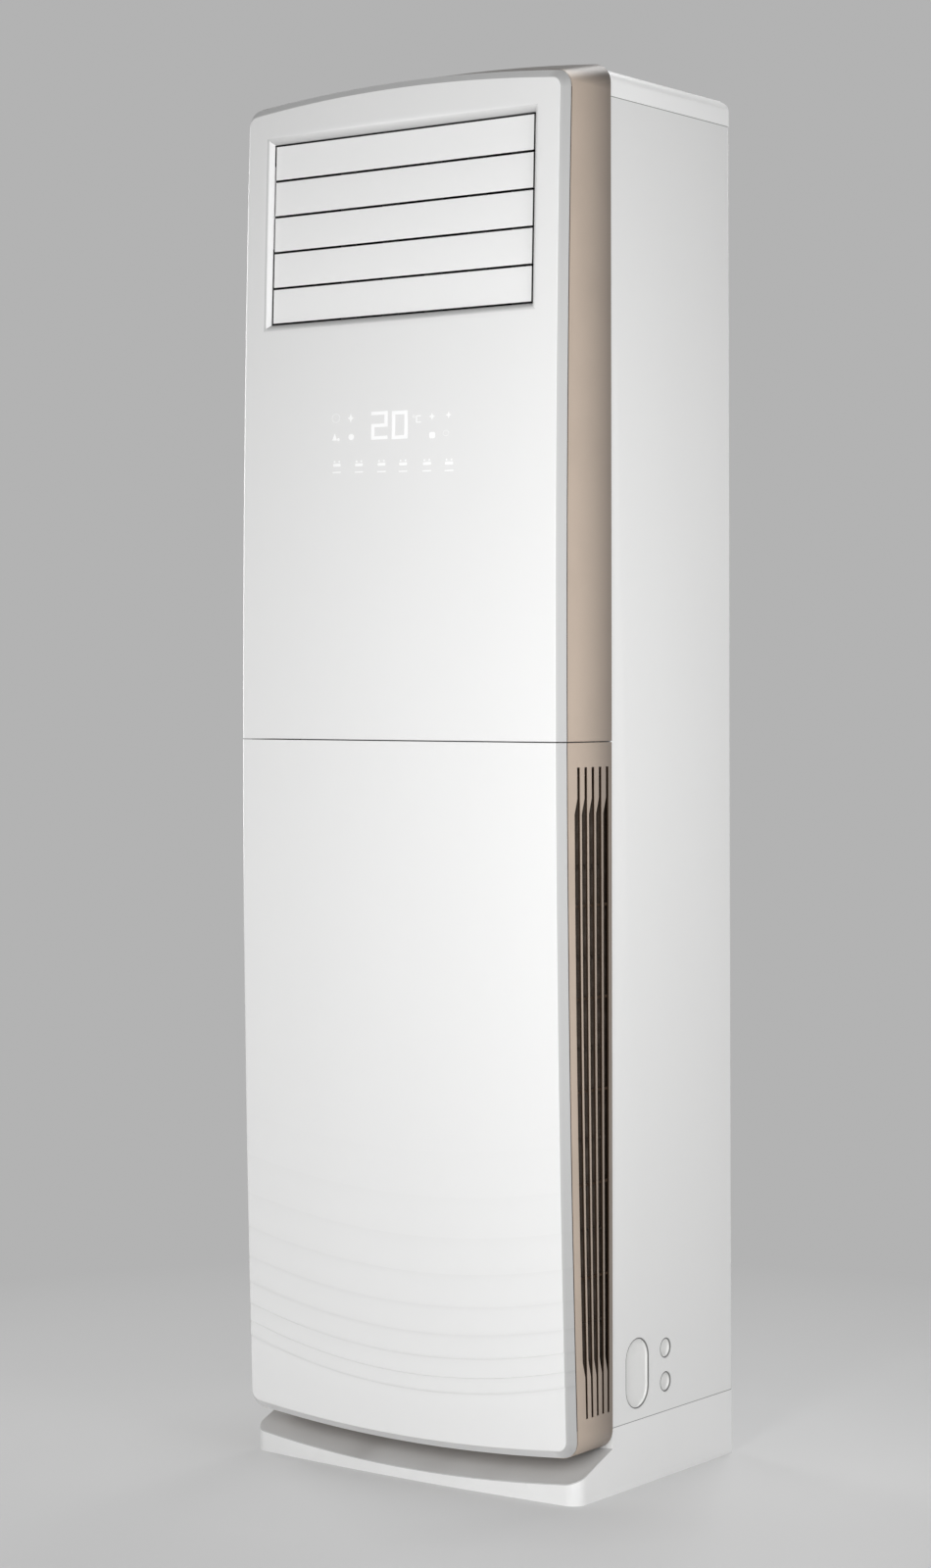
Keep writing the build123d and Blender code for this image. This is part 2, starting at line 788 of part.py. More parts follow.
def pan_head_screw():
    """One screw along +Y, its head outside the plane y = 0."""
    shank = rod_y(screw_radius, -screw_length, 0, 0, 0)
    head = rod_y(screw_head_radius, 0, screw_head_height, 0, 0)
    rim = head.faces().sort_by(Axis.Y)[-1].edges()
    head = fillet(rim, screw_head_height * 0.6)
    cross = screw_head_height * 0.5
    slot = block(-0.5, 0.5, screw_head_height - cross, screw_head_height + 1, -2, 2)
    slot += block(-2, 2, screw_head_height - cross, screw_head_height + 1, -0.5, 0.5)
    return head + shank - slot


def rear_screws():
    """The screws of the rear panel."""
    screw = pan_head_screw()
    return Compound(children=[Pos(x, rear_plane, z) * screw for x, z in rear_screw_places()])


def cover_space(wall):
    """The space of the cap, drawn in by a wall, with rounded side and rear edges."""
    half = half_cabinet - wall
    front = trim_plane + wall
    rear = rear_plane - wall
    high = cover_z + cover_height - wall
    low = cover_z - wall
    across = rectangle(-half, half, low, high)
    across = fillet(across.vertices().sort_by(Axis.Y)[-2:], cover_round - wall)
    along = rectangle(front - cabinet_depth, rear, low, high)
    top_rear = along.vertices().sort_by(Axis.Y)[-2:].sort_by(Axis.X)[-1]
    along = fillet(top_rear, cover_round - wall)
    plan = rectangle(-half, half, front, rear)
    plan = fillet(plan.vertices().sort_by(Axis.Y)[-2:], rear_bend - wall)
    space = prism_z(plan, low, high) & prism_x(along, -cabinet_width, cabinet_width)
    return space & prism_y(across, front, rear)


def top_cover():
    """Moulded cap with well rounded side and rear edges."""
    return cover_space(0) - cover_space(2 * sheet)


# --------------------------------------------------------- inner frame
def front_bulkhead():
    """Sheet behind the upper front, open for the outlet duct."""
    half = half_cabinet - bend
    face = rectangle(-half, half, deck_top, cover_z)
    hole = rectangle(
        -duct_half - duct_wall, duct_half + duct_wall, duct_foot - duct_wall, duct_top + duct_wall
    )
    return prism_y(face - hole, bulkhead_y, bulkhead_rear)


def fan_deck():
    """Shelf between fan and coil, with side flanges and its passages."""
    rear = rear_plane - 2 * sheet
    deck = block(-inner_half, inner_half, bulkhead_y, rear, deck_z, deck_top)
    deck = fillet(deck.edges().filter_by(Axis.Z), rear_bend)
    front_end = bulkhead_y + rear_bend
    for x in (-inner_half, inner_half - sheet):
        deck += block(x, x + sheet, front_end, rear - rear_bend, deck_z - rear_flange, deck_z)
    left, right = scroll_walls(0)
    deck -= block(left, right, scroll_front_y + sheet, scroll_back_y - sheet, 0, 2 * deck_z)
    deck -= rod_z(gas_radius + pipe_gap, 0, 2 * deck_z, gas_x, coil_foot_y)
    deck -= rod_z(tube_radius + pipe_gap, 0, 2 * deck_z, liquid_x, liquid_y())
    deck -= rod_z(hose_radius + hose_edge / 2, 0, 2 * deck_z, hose_drop_x, hose_y)
    return deck


def outlet_duct():
    """Rectangular duct that holds the louver and vane pivots."""
    outer = rectangle(
        -duct_half - duct_wall, duct_half + duct_wall, duct_foot - duct_wall, duct_top + duct_wall
    )
    inner = rectangle(-duct_half, duct_half, duct_foot, duct_top)
    duct = prism_y(outer - inner, -overall_depth, duct_rear)
    ahead = Box(cabinet_width, side_height, overall_depth, align=(Align.CENTER, Align.CENTER, Align.MIN))
    duct -= outlet_plane * ahead
    for index in range(louver_count):
        x = duct_half + 2 * duct_wall
        place = louver_place(index)
        duct -= rod_x(louver_pin + running_fit, -x, x, place.Y, place.Z)
    for index in range(vane_count):
        low = duct_foot - 2 * duct_wall
        high = duct_top + 2 * duct_wall
        duct -= rod_z(vane_pin + running_fit, low, high, vane_x(index), vane_y)
    return duct


# --------------------------------------------------------- louvers and vanes
def louver_place(index):
    """Pivot of one louver; the first is the top one."""
    up = ((louver_count - 1) / 2 - index) * louver_pitch
    return outlet_plane.from_local_coords(Vector(0, up, -louver_pivot))


def louver(index):
    """A louver blade with its ears, pins and, outside the duct, its crank."""
    up = ((louver_count - 1) / 2 - index) * louver_pitch
    blade = Pos(0, up, -louver_thick / 2) * Box(2 * louver_half, louver_height, louver_thick)
    long_edges = blade.edges().filter_by(Axis.X)
    blade = fillet(long_edges, louver_thick * 0.3)
    stiffener = louver_height * 0.3
    for offset_up in (-stiffener, stiffener):
        rib = Box(2 * louver_half - 8 * louver_ear, duct_wall / 2, louver_thick)
        blade += Pos(0, up + offset_up, -louver_thick * 1.25) * rib
    body = outlet_plane * blade
    place = louver_place(index)
    ear_half = louver_pin + 2
    ear = Pos(0, up, -(louver_pivot + louver_thick / 2) / 2)
    ear = ear * Box(2 * louver_half, 2 * ear_half, louver_pivot - louver_thick / 2)
    ears = outlet_plane * ear
    ears += rod_x(ear_half, -louver_half, louver_half, place.Y, place.Z)
    reach = louver_half - louver_ear
    ears -= block(-reach, reach, -overall_depth, 0, duct_foot, duct_top)
    right_end = duct_half + duct_wall
    if index == middle_louver:
        right_end += stepper_reach
    left_end = duct_half + duct_wall + crank_gap
    body += ears
    body += rod_x(louver_pin, -left_end, -reach, place.Y, place.Z)
    body += rod_x(louver_pin, reach, right_end, place.Y, place.Z)
    arm = SlotCenterToCenter(crank_arm, crank_width)
    arm_middle = Pos(place.Y + crank_arm / 2, place.Z)
    body += prism_x(arm_middle * arm, -left_end - crank_thick, -left_end)
    pin_end = left_end + crank_thick + link_gap + link_thick
    pin_y = place.Y + crank_arm
    return body + rod_x(crank_pin, -pin_end, -left_end, pin_y, place.Z)


def louver_link():
    """Tie bar that joins the louver cranks."""
    right = -(duct_half + duct_wall + crank_gap + crank_thick + link_gap)
    first = louver_place(0)
    last = louver_place(louver_count - 1)
    length = (louver_count - 1) * louver_pitch
    lean = degrees(atan(outlet_lean))
    bar = SlotCenterToCenter(length, crank_width, rotation=90 - lean)
    middle = Pos((first.Y + last.Y) / 2 + crank_arm, (first.Z + last.Z) / 2)
    link = prism_x(middle * bar, right - link_thick, right)
    for index in range(louver_count):
        place = louver_place(index)
        hole = rod_x(crank_pin + link_fit, right - 9, right + 9, place.Y + crank_arm, place.Z)
        link -= hole
    return link


def vane_x(index):
    """X of one vane pivot, from the left."""
    return (index - (vane_count - 1) / 2) * vane_pitch


def vane(index):
    """An upright vane with its pins and, under the duct, its crank."""
    x = vane_x(index)
    low = duct_foot + vane_end_gap
    high = duct_top - vane_end_gap
    blade = block(
        x - vane_thick / 2, x + vane_thick / 2, vane_y - vane_front, vane_y + vane_rear, low, high
    )
    blade = fillet(blade.edges().filter_by(Axis.Z), vane_thick * 0.4)
    top_end = duct_top + duct_wall
    if index == middle_vane:
        top_end += stepper_reach
    arm_top = duct_foot - duct_wall - crank_gap
    body = blade + rod_z(vane_pin, high - vane_end_gap, top_end, x, vane_y)
    body += rod_z(vane_pin, arm_top, low + vane_end_gap, x, vane_y)
    arm = Pos(x, vane_y + crank_arm / 2) * SlotCenterToCenter(crank_arm, crank_width, rotation=90)
    body += prism_z(arm, arm_top - crank_thick, arm_top)
    pin_end = arm_top - crank_thick - link_gap - link_thick
    return body + rod_z(crank_pin, pin_end, arm_top, x, vane_y + crank_arm)


def vane_link():
    """Tie bar that joins the vane cranks."""
    top = duct_foot - duct_wall - crank_gap - crank_thick - link_gap
    length = (vane_count - 1) * vane_pitch
    bar = Pos(0, vane_y + crank_arm) * SlotCenterToCenter(length, crank_width)
    link = prism_z(bar, top - link_thick, top)
    for index in range(vane_count):
        link -= rod_z(crank_pin + link_fit, top - 9, top + 9, vane_x(index), vane_y + crank_arm)
    return link


def stepper():
    """A small stepper along +Z with its ears, bored for the driven pin."""
    can = rod_z(stepper_radius, 0, stepper_length, 0, stepper_offset)
    rim = can.faces().sort_by(Axis.Z)[-1].edges()
    can = chamfer(rim, 1)
    ear = Pos(0, stepper_offset) * SlotOverall(3 * stepper_radius, stepper_radius * 0.6)
    hole_x = 1.3 * stepper_radius
    for x in (-hole_x, hole_x):
        ear -= Pos(x, stepper_offset) * Circle(screw_radius)
    return can + prism_z(ear, 0, sheet)


def louver_stepper():
    """Stepper on the right wall of the duct."""
    place = louver_place(middle_louver)
    x = duct_half + duct_wall
    seat = Plane(origin=(x, place.Y, place.Z), x_dir=(0, 0, -1), z_dir=(1, 0, 0))
    bore = rod_x(louver_pin + running_fit, x - 1, x + stepper_reach + 1, place.Y, place.Z)
    return seat * stepper() - bore


def vane_stepper():
    """Stepper on the top wall of the duct."""
    z = duct_top + duct_wall
    x = vane_x(middle_vane)
    bore = rod_z(vane_pin + running_fit, z - 1, z + stepper_reach + 1, x, vane_y)
    return Pos(x, vane_y, z) * stepper() - bore


# --------------------------------------------------------------- fan
def scroll_walls(wall):
    """X of the left and right walls of the scroll outlet."""
    return tongue_radius - wall, scroll_right + wall


def scroll_region(wall):
    """The scroll outline in (x, z), grown by a wall: three quarter arcs."""
    first = wheel_radius + scroll_clearance + wall
    second = first + scroll_growth
    third = second + scroll_growth
    shift = scroll_growth
    left, right = scroll_walls(wall)
    top = (0, fan_z + first)
    west = (-first, fan_z)
    south = (shift, fan_z - second)
    east = (right, fan_z + shift)
    tongue = tongue_radius - wall
    tip = (left, fan_z + first + tongue)
    half = sqrt(0.5)
    edges = [
        Line((left, deck_z), tip),
        ThreePointArc(tip, (tongue * half, fan_z + first + tongue * (1 - half)), top),
        ThreePointArc(top, (-first * half, fan_z + first * half), west),
        ThreePointArc(west, (shift - second * half, fan_z - second * half), south),
        ThreePointArc(south, (shift + third * half, fan_z + shift - third * half), east),
        Line(east, (right, deck_z)),
        Line((right, deck_z), (left, deck_z)),
    ]
    return make_face(edges)


def scroll_wrap():
    """The curved wall of the fan scroll, open at its outlet."""
    ring = scroll_region(sheet) - scroll_region(0)
    return prism_y(ring, scroll_front_y + sheet, scroll_back_y - sheet)


def scroll_front_plate():
    """Front plate of the scroll with its round inlet."""
    face = scroll_region(sheet + scroll_lip) - Pos(0, fan_z) * Circle(eye_radius)
    return prism_y(face, scroll_front_y, scroll_front_y + sheet)


def scroll_back_plate():
    """Back plate of the scroll, which carries the motor."""
    face = scroll_region(sheet + scroll_lip) - Pos(0, fan_z) * Circle(hub_radius)
    return prism_y(face, scroll_back_y - sheet, scroll_back_y)


def inlet_ring():
    """Bell mouth turned about the fan shaft, seated on the front plate."""
    wall = 1.5 * sheet
    flare = 16.0
    lip = eye_radius - wall
    neck = wheel_front - scroll_front_y - sheet
    outer_arc = ThreePointArc(
        (lip, scroll_front_y),
        (lip + flare * (1 - sqrt(0.5)), scroll_front_y - flare * sqrt(0.5)),
        (lip + flare, scroll_front_y - flare),
    )
    inner = flare - wall
    seat = (lip + wall, scroll_front_y)
    inner_arc = ThreePointArc(
        (lip + flare, scroll_front_y - inner),
        (lip + flare - inner * sqrt(0.5), scroll_front_y - inner * sqrt(0.5)),
        seat,
    )
    neck_rear = scroll_front_y + sheet + neck
    edges = [
        outer_arc,
        Line(outer_arc @ 1, inner_arc @ 0),
        inner_arc,
        Line(seat, (lip + wall, neck_rear)),
        Line((lip + wall, neck_rear), (lip, neck_rear)),
        Line((lip, neck_rear), (lip, scroll_front_y)),
    ]
    profile = make_face(edges)
    ring = revolve(profile, Axis.Y, 360)
    foot = prism_y(
        Circle(eye_radius + 4 * scroll_lip) - Circle(eye_radius - wall / 2),
        scroll_front_y - sheet,
        scroll_front_y,
    )
    return Pos(0, 0, fan_z) * (ring + foot)


def wheel_blade():
    """One forward curved blade, drawn in (x, z) about the shaft."""
    depth = blade_depth + blade_thick / 2
    rise = depth * 0.55
    middle = wheel_eye + depth / 2
    lift = depth * 0.28
    inner = (wheel_eye, 0)
    outer = (wheel_eye + depth, rise)
    hump = (middle + lift * 0.35, rise / 2 - lift)
    front = ThreePointArc(inner, hump, outer)
    back = ThreePointArc(*[(x, z - blade_thick) for x, z in (inner, hump, outer)])
    return make_face([front, Line(front @ 1, back @ 1), back, Line(back @ 0, front @ 0)])


def fan_wheel():
    """Ring of forward curved blades that stand on the disc."""
    disc_front = wheel_rear - wheel_ring
    blade = prism_y(wheel_blade(), wheel_front + wheel_ring / 2, disc_front)
    ring = Circle(wheel_radius) - Circle(wheel_eye - blade_thick)
    drum = prism_y(ring, wheel_front, wheel_front + wheel_ring)
    turned = [Rot(0, 360 / blade_count * index, 0) * blade for index in range(blade_count)]
    drum = drum.fuse(*turned) & prism_y(Circle(wheel_radius), wheel_front, disc_front)
    return Pos(0, 0, fan_z) * drum


def fan_disc():
    """Disc and hub that carry the blades on the shaft."""
    disc = prism_y(Circle(wheel_radius), wheel_rear - wheel_ring, wheel_rear)
    disc += rod_y(hub_radius, wheel_rear - hub_length, wheel_rear, 0, 0)
    bore = rod_y(shaft_radius, wheel_front, rear_plane, 0, 0)
    return Pos(0, 0, fan_z) * (disc - bore)


def fan_shaft():
    """Motor shaft with the nut that holds the wheel."""
    nut_y = wheel_rear - hub_length - nut_length
    end = scroll_back_y + motor_length - motor_seat
    shaft = rod_y(shaft_radius, nut_y - nut_length / 2, end - pipe_gap, 0, fan_z)
    nut = prism_y(Pos(0, fan_z) * RegularPolygon(1.7 * shaft_radius, 6), nut_y, nut_y + nut_length)
    return shaft + nut


def fan_motor():
    """Flat motor behind the scroll on four arms, bored for its shaft."""
    rear = scroll_back_y + motor_length
    can = rod_y(motor_radius, scroll_back_y + motor_seat - pipe_gap, rear, 0, fan_z)
    can = fillet(can.edges().filter_by(GeomType.CIRCLE), motor_round)
    seat_radius = motor_radius * 0.62
    body = can + rod_y(seat_radius, scroll_back_y, scroll_back_y + motor_seat, 0, fan_z)
    reach = motor_radius + motor_arm
    arm_rear = scroll_back_y + motor_round
    half = motor_arm / 2
    arm = block(-half, half, scroll_back_y, arm_rear, motor_radius / 2, reach)
    arm -= rod_y(screw_radius, scroll_back_y, arm_rear, 0, reach - half)
    for index in range(4):
        body += Pos(0, 0, fan_z) * Rot(0, 45 + 90 * index, 0) * arm
    return body - rod_y(shaft_radius + running_fit, 0, rear - motor_seat, 0, fan_z)


# --------------------------------------------------------------- coil
def coil_section(grow, start, length):
    """The leaning section of the coil in (y, z), from its foot up."""
    slab = Pos(0, start + length / 2) * Rectangle(coil_thick + 2 * grow, length)
    return Pos(coil_foot_y, coil_foot_z) * Rot(0, 0, -coil_angle) * slab


def coil_point(along, across):
    """A point of the coil section, as (y, z)."""
    lean = radians(coil_angle)
    y = coil_foot_y + along * sin(lean) + across * cos(lean)
    z = coil_foot_z + along * cos(lean) - across * sin(lean)
    return y, z


def liquid_start():
    """Where the liquid pipe leaves the coil, clear of the gas pipe."""
    return coil_point(coil_length * 0.03, -(gas_radius + tube_radius + 2 * link_gap))


def liquid_y():
    """Y of the upright run of the liquid pipe."""
    return liquid_start()[0]


def coil_core():
    """Block of fins."""
    return prism_x(coil_section(0, 0, coil_length), -coil_width / 2, coil_width / 2)


def coil_end_plates():
    """Folded end plates that stand in the drain pan."""
    down = coil_foot_z - deck_z
    section = coil_section(pan_wall, -down, coil_length + down)
    section -= rectangle(-overall_depth, overall_depth, 0, pan_floor)
    half = coil_width / 2
    plates = [prism_x(section, x, x + end_plate) for x in (-half - end_plate, half)]
    return Compound(children=plates)


def return_bends():
    """Hairpin bends of the coil tubes on the left."""
    bends = []
    lean = radians(coil_angle)
    step = coil_length / return_bend_count
    section = Plane.XZ * (Pos(return_bend_pitch / 2, 0) * Circle(tube_radius))
    hairpin = revolve(section, Axis.Z, 180)
    for index in range(return_bend_count):
        y, z = coil_point((index + 0.5) * step, 0)
        along = (0, sin(lean), cos(lean))
        across = (0, -cos(lean), sin(lean))
        bends.append(Plane(origin=(-plenum_x, y, z), x_dir=along, z_dir=across) * hairpin)
    return Compound(children=bends)


def suction_pipe():
    """Gas header beside the coil with its feeders and the pipe down."""
    top_y, top_z = coil_point(coil_length * 0.85, 0)
    low_y, low_z = coil_point(coil_length * 0.06, 0)
    header = pipe([(gas_x, top_y, top_z), (gas_x, low_y, low_z)], header_radius, 1)
    knee = (gas_x, coil_foot_y, coil_foot_z - gas_radius)
    foot = (gas_x, coil_foot_y, pipe_end_z)
    body = header + pipe([(gas_x, low_y, low_z), knee, foot], gas_radius, pipe_bend)
    for index in range(feeder_count):
        y, z = coil_point(coil_length * (0.1 + 0.7 * index / (feeder_count - 1)), 0)
        body += rod_x(tube_radius, plenum_x, gas_x, y, z)
    return body


def liquid_pipe():
    """Liquid pipe from the foot of the coil down to its union."""
    y, z = liquid_start()
    return pipe(
        [(plenum_x, y, z), (liquid_x, y, z), (liquid_x, y, pipe_end_z)], tube_radius, pipe_bend
    )


def union_nuts():
    """Flare nuts at the lower ends of both pipes."""
    nuts = []
    pipes = ((gas_x, coil_foot_y, gas_radius), (liquid_x, liquid_y(), tube_radius))
    for x, y, radius in pipes:
        nut_radius = 1.8 * radius
        nut = RegularPolygon(nut_radius, 6) - Circle(radius + running_fit)
        body = prism_z(nut, pipe_end_z, pipe_end_z + nut_radius)
        nuts.append(Pos(x, y, 0) * body)
    return Compound(children=nuts)


def coil_baffles():
    """Leaning strips that close the space between coil and side panels."""
    across = -coil_thick / 2 - pan_wall
    strip = Pos(across, coil_length / 2) * Rectangle(sheet, coil_length)
    section = Pos(coil_foot_y, coil_foot_z) * Rot(0, 0, -coil_angle) * strip
    start = plenum_x
    strips = [prism_x(section, start, inner_half), prism_x(section, -inner_half, -start)]
    return Compound(children=strips)


def drain_pan():
    """Tray under the coil with its spout."""
    half = plenum_x + pan_end_gap
    outer = block(-half, half, pan_front_y, pan_rear_y, deck_top, deck_top + pan_height)
    inner = block(
        -half + pan_wall, half - pan_wall, pan_front_y + pan_wall, pan_rear_y - pan_wall,
        pan_floor, deck_top + 2 * pan_height,
    )
    spout_z = pan_floor + hose_radius
    spout = rod_x(hose_radius, half - pan_wall, hose_x, hose_y, spout_z)
    bore = rod_x(hose_radius - pan_wall, half - 2 * pan_wall, hose_x + 1, hose_y, spout_z)
    return outer - inner + spout - bore


def drain_hose():
    """Drain hose from the spout down to the oval knock-out."""
    z = pan_floor + hose_radius
    return pipe(
        [(hose_x, hose_y, z), (hose_drop_x, hose_y, z), (hose_drop_x, hose_y, oval_z)],
        hose_radius,
        hose_radius * 0.95,
    )


# --------------------------------------------------------------- controls
def electrical_box():
    """Folded box for the electronics, open to the front."""
    half = box_width / 2
    front = bulkhead_y - box_depth
    high = box_foot + box_height
    outer = block(-half, half, front, bulkhead_y, box_foot, high)
    inner = block(
        -half + box_wall, half - box_wall, front - 1, bulkhead_y - box_wall,
        box_foot + box_wall, high - box_wall,
    )
    return outer - inner


def box_lid():
    """Lid of the electrical box with its folded edge."""
    half = box_width / 2 + box_wall
    front = bulkhead_y - box_depth - box_wall
    low = box_foot - box_wall
    high = box_foot + box_height + box_wall
    outer = block(-half, half, front, front + 5 * box_wall, low, high)
    inner = block(
        -half + box_wall, half - box_wall, front + box_wall, front + 6 * box_wall,
        low + box_wall, high - box_wall,
    )
    return outer - inner


def control_board():
    """Circuit board on four stand-offs, with its larger components."""
    rear = bulkhead_y - box_wall
    board_y = rear - standoff
    front = board_y - board_thick
    half = board_width / 2
    low = box_foot + board_foot
    high = low + board_height
    board = block(-half, half, front, board_y, low, high)
    for x in (-half + standoff, half - standoff):
        for z in (low + standoff, high - standoff):
            board += rod_y(standoff_radius, board_y, rear, x, z)
    side = transformer_side
    x = -half + side
    board += block(x, x + side, front - 0.8 * side, front, high - 1.5 * side, high - 0.5 * side)
    for index in range(2):
        radius = capacitor_radius - index * standoff_radius
        x = capacitor_radius * (1 + 2.5 * index)
        board += rod_y(radius, front - 2.5 * radius, front, x, high - side)
    return board


def terminal_block():
    """Screw terminals in the lower part of the box."""
    rear = bulkhead_y - box_wall
    front = rear - terminal_depth
    low = box_foot + terminal_foot
    half = terminal_count * terminal_pitch / 2
    body = block(-half, half, front, rear, low, low + terminal_height)
    bay = terminal_pitch / 3
    middle = low + terminal_height / 2
    for index in range(terminal_count):
        x = (index + 0.5) * terminal_pitch - half
        floor_y = front + terminal_depth / 2
        body -= block(x - bay, x + bay, front - bay, floor_y, middle - bay, middle + bay)
        body += rod_y(bay / 2, floor_y - standoff_radius, floor_y, x, middle)
    return body


def display_front():
    """Y of the front of the display housing, close behind the upper panel."""
    crown = plan_crown * (display_width / panel_width) ** 2
    return face_y(display_z) + panel_wall + crown + 3 * body_gap


def display_housing():
    """Holder of the display behind the upper panel, on two arms."""
    half = display_width / 2
    front = display_front()
    rear = front + display_depth
    low = display_z - display_height / 2
    high = low + display_height
    body = block(-half, half, front, rear, low, high)
    body -= block(
        -half + box_wall, half - box_wall, front + box_wall, rear + box_wall,
        low + box_wall, high - box_wall,
    )
    for x in (-half + display_arm, half - 2 * display_arm):
        body += block(x, x + display_arm, front + box_wall / 2, bulkhead_y, low, low + display_arm)
    return body


def display_board():
    """Display board inside its housing."""
    half = display_width / 2 - box_wall
    front = display_front() + box_wall
    low = display_z - display_height / 2 + display_arm + box_wall
    high = display_z + display_height / 2 - box_wall
    return block(-half, half, front, front + 2 * box_wall, low, high)


# --------------------------------------------------------------- all pieces
save("base", base())
save("left_side_panel", side_panel(-1))
save("right_side_panel", side_panel(1))
save("rear_panel", rear_panel())
save("rear_screws", rear_screws())
save("top_cover", top_cover())
save("upper_trim", upper_trim())
save("lower_trim", lower_trim())
save("upper_front_panel", upper_front_panel())
save("lower_front_panel", Pos(0, -body_gap, 0) * lower_front_panel())
save("left_filter", Pos(0, -body_gap, 0) * air_filter(-1))
save("right_filter", Pos(0, -body_gap, 0) * air_filter(1))
save("left_knock_outs", knock_outs(-1))
save("right_knock_outs", knock_outs(1))
save("front_bulkhead", front_bulkhead())
save("fan_deck", fan_deck())
save("outlet_duct", outlet_duct())
for number in range(louver_count):
    save(f"louver_{number + 1}", louver(number))
save("louver_link", louver_link())
save("louver_stepper", louver_stepper())
for number in range(vane_count):
    save(f"vane_{number + 1}", vane(number))
save("vane_link", vane_link())
save("vane_stepper", vane_stepper())
save("scroll_wrap", scroll_wrap())
save("scroll_front_plate", scroll_front_plate())
save("scroll_back_plate", scroll_back_plate())
save("inlet_ring", inlet_ring())
save("fan_wheel", fan_wheel())
save("fan_disc", fan_disc())
save("fan_shaft", fan_shaft())
save("fan_motor", fan_motor())
save("coil_core", coil_core())
save("coil_end_plates", coil_end_plates())
save("coil_baffles", coil_baffles())
save("return_bends", return_bends())
save("suction_pipe", suction_pipe())
save("liquid_pipe", liquid_pipe())
save("union_nuts", union_nuts())
save("drain_pan", drain_pan())
save("drain_hose", drain_hose())
save("electrical_box", electrical_box())
save("box_lid", box_lid())
save("control_board", control_board())
save("terminal_block", terminal_block())
save("display_housing", display_housing())
save("display_board", display_board())
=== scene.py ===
"""Floor standing air conditioner: finishes, front skins, display, light and camera on the frame."""

from __future__ import annotations

import json
import logging
import math
from dataclasses import dataclass
from enum import Enum
from functools import cached_property
from typing import Callable, Sequence

import bmesh
import bpy
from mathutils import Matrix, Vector

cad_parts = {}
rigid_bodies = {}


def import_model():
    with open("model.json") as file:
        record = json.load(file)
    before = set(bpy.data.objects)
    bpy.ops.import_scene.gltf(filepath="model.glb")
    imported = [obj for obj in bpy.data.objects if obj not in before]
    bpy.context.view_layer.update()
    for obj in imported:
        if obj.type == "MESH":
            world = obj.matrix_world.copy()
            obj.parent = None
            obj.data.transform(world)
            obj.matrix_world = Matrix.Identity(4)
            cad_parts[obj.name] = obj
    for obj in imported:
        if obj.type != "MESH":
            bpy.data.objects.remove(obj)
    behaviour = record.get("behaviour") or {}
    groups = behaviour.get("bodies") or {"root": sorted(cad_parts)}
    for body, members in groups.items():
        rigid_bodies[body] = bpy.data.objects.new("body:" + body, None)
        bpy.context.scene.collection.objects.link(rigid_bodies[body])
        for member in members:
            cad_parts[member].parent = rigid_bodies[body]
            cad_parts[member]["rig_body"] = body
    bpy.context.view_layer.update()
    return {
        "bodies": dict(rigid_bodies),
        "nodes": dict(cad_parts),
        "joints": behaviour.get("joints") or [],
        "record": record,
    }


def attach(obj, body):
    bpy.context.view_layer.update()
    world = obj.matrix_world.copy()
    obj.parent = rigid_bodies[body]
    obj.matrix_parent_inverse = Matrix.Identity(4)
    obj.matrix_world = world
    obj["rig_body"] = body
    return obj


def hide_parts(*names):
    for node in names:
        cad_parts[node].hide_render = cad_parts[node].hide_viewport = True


LOG = logging.getLogger("air_conditioner")
Colour = tuple[float, float, float]
Place = tuple[float, float, float]
Layer = bmesh.types.BMLayerItem
BLACK: Colour = (0.0, 0.0, 0.0)
MILLIMETRE = 0.001

# Two points that are less than this many metres apart are one point.
SAME_PLACE = 1e-6

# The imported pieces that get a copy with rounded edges, and how wide the rounding is in metres.
EDGE_ROUNDING: dict[str, float] = {
    "base": 0.0012,
    "top_cover": 0.0006,
    "left_side_panel": 0.0004,
    "right_side_panel": 0.0004,
    "upper_trim": 0.0006,
    "lower_trim": 0.0004,
    "rear_panel": 0.0004,
    "left_knock_outs": 0.0004,
    "right_knock_outs": 0.0004,
    **{f"louver_{number}": 0.0006 for number in range(1, 6)},
}


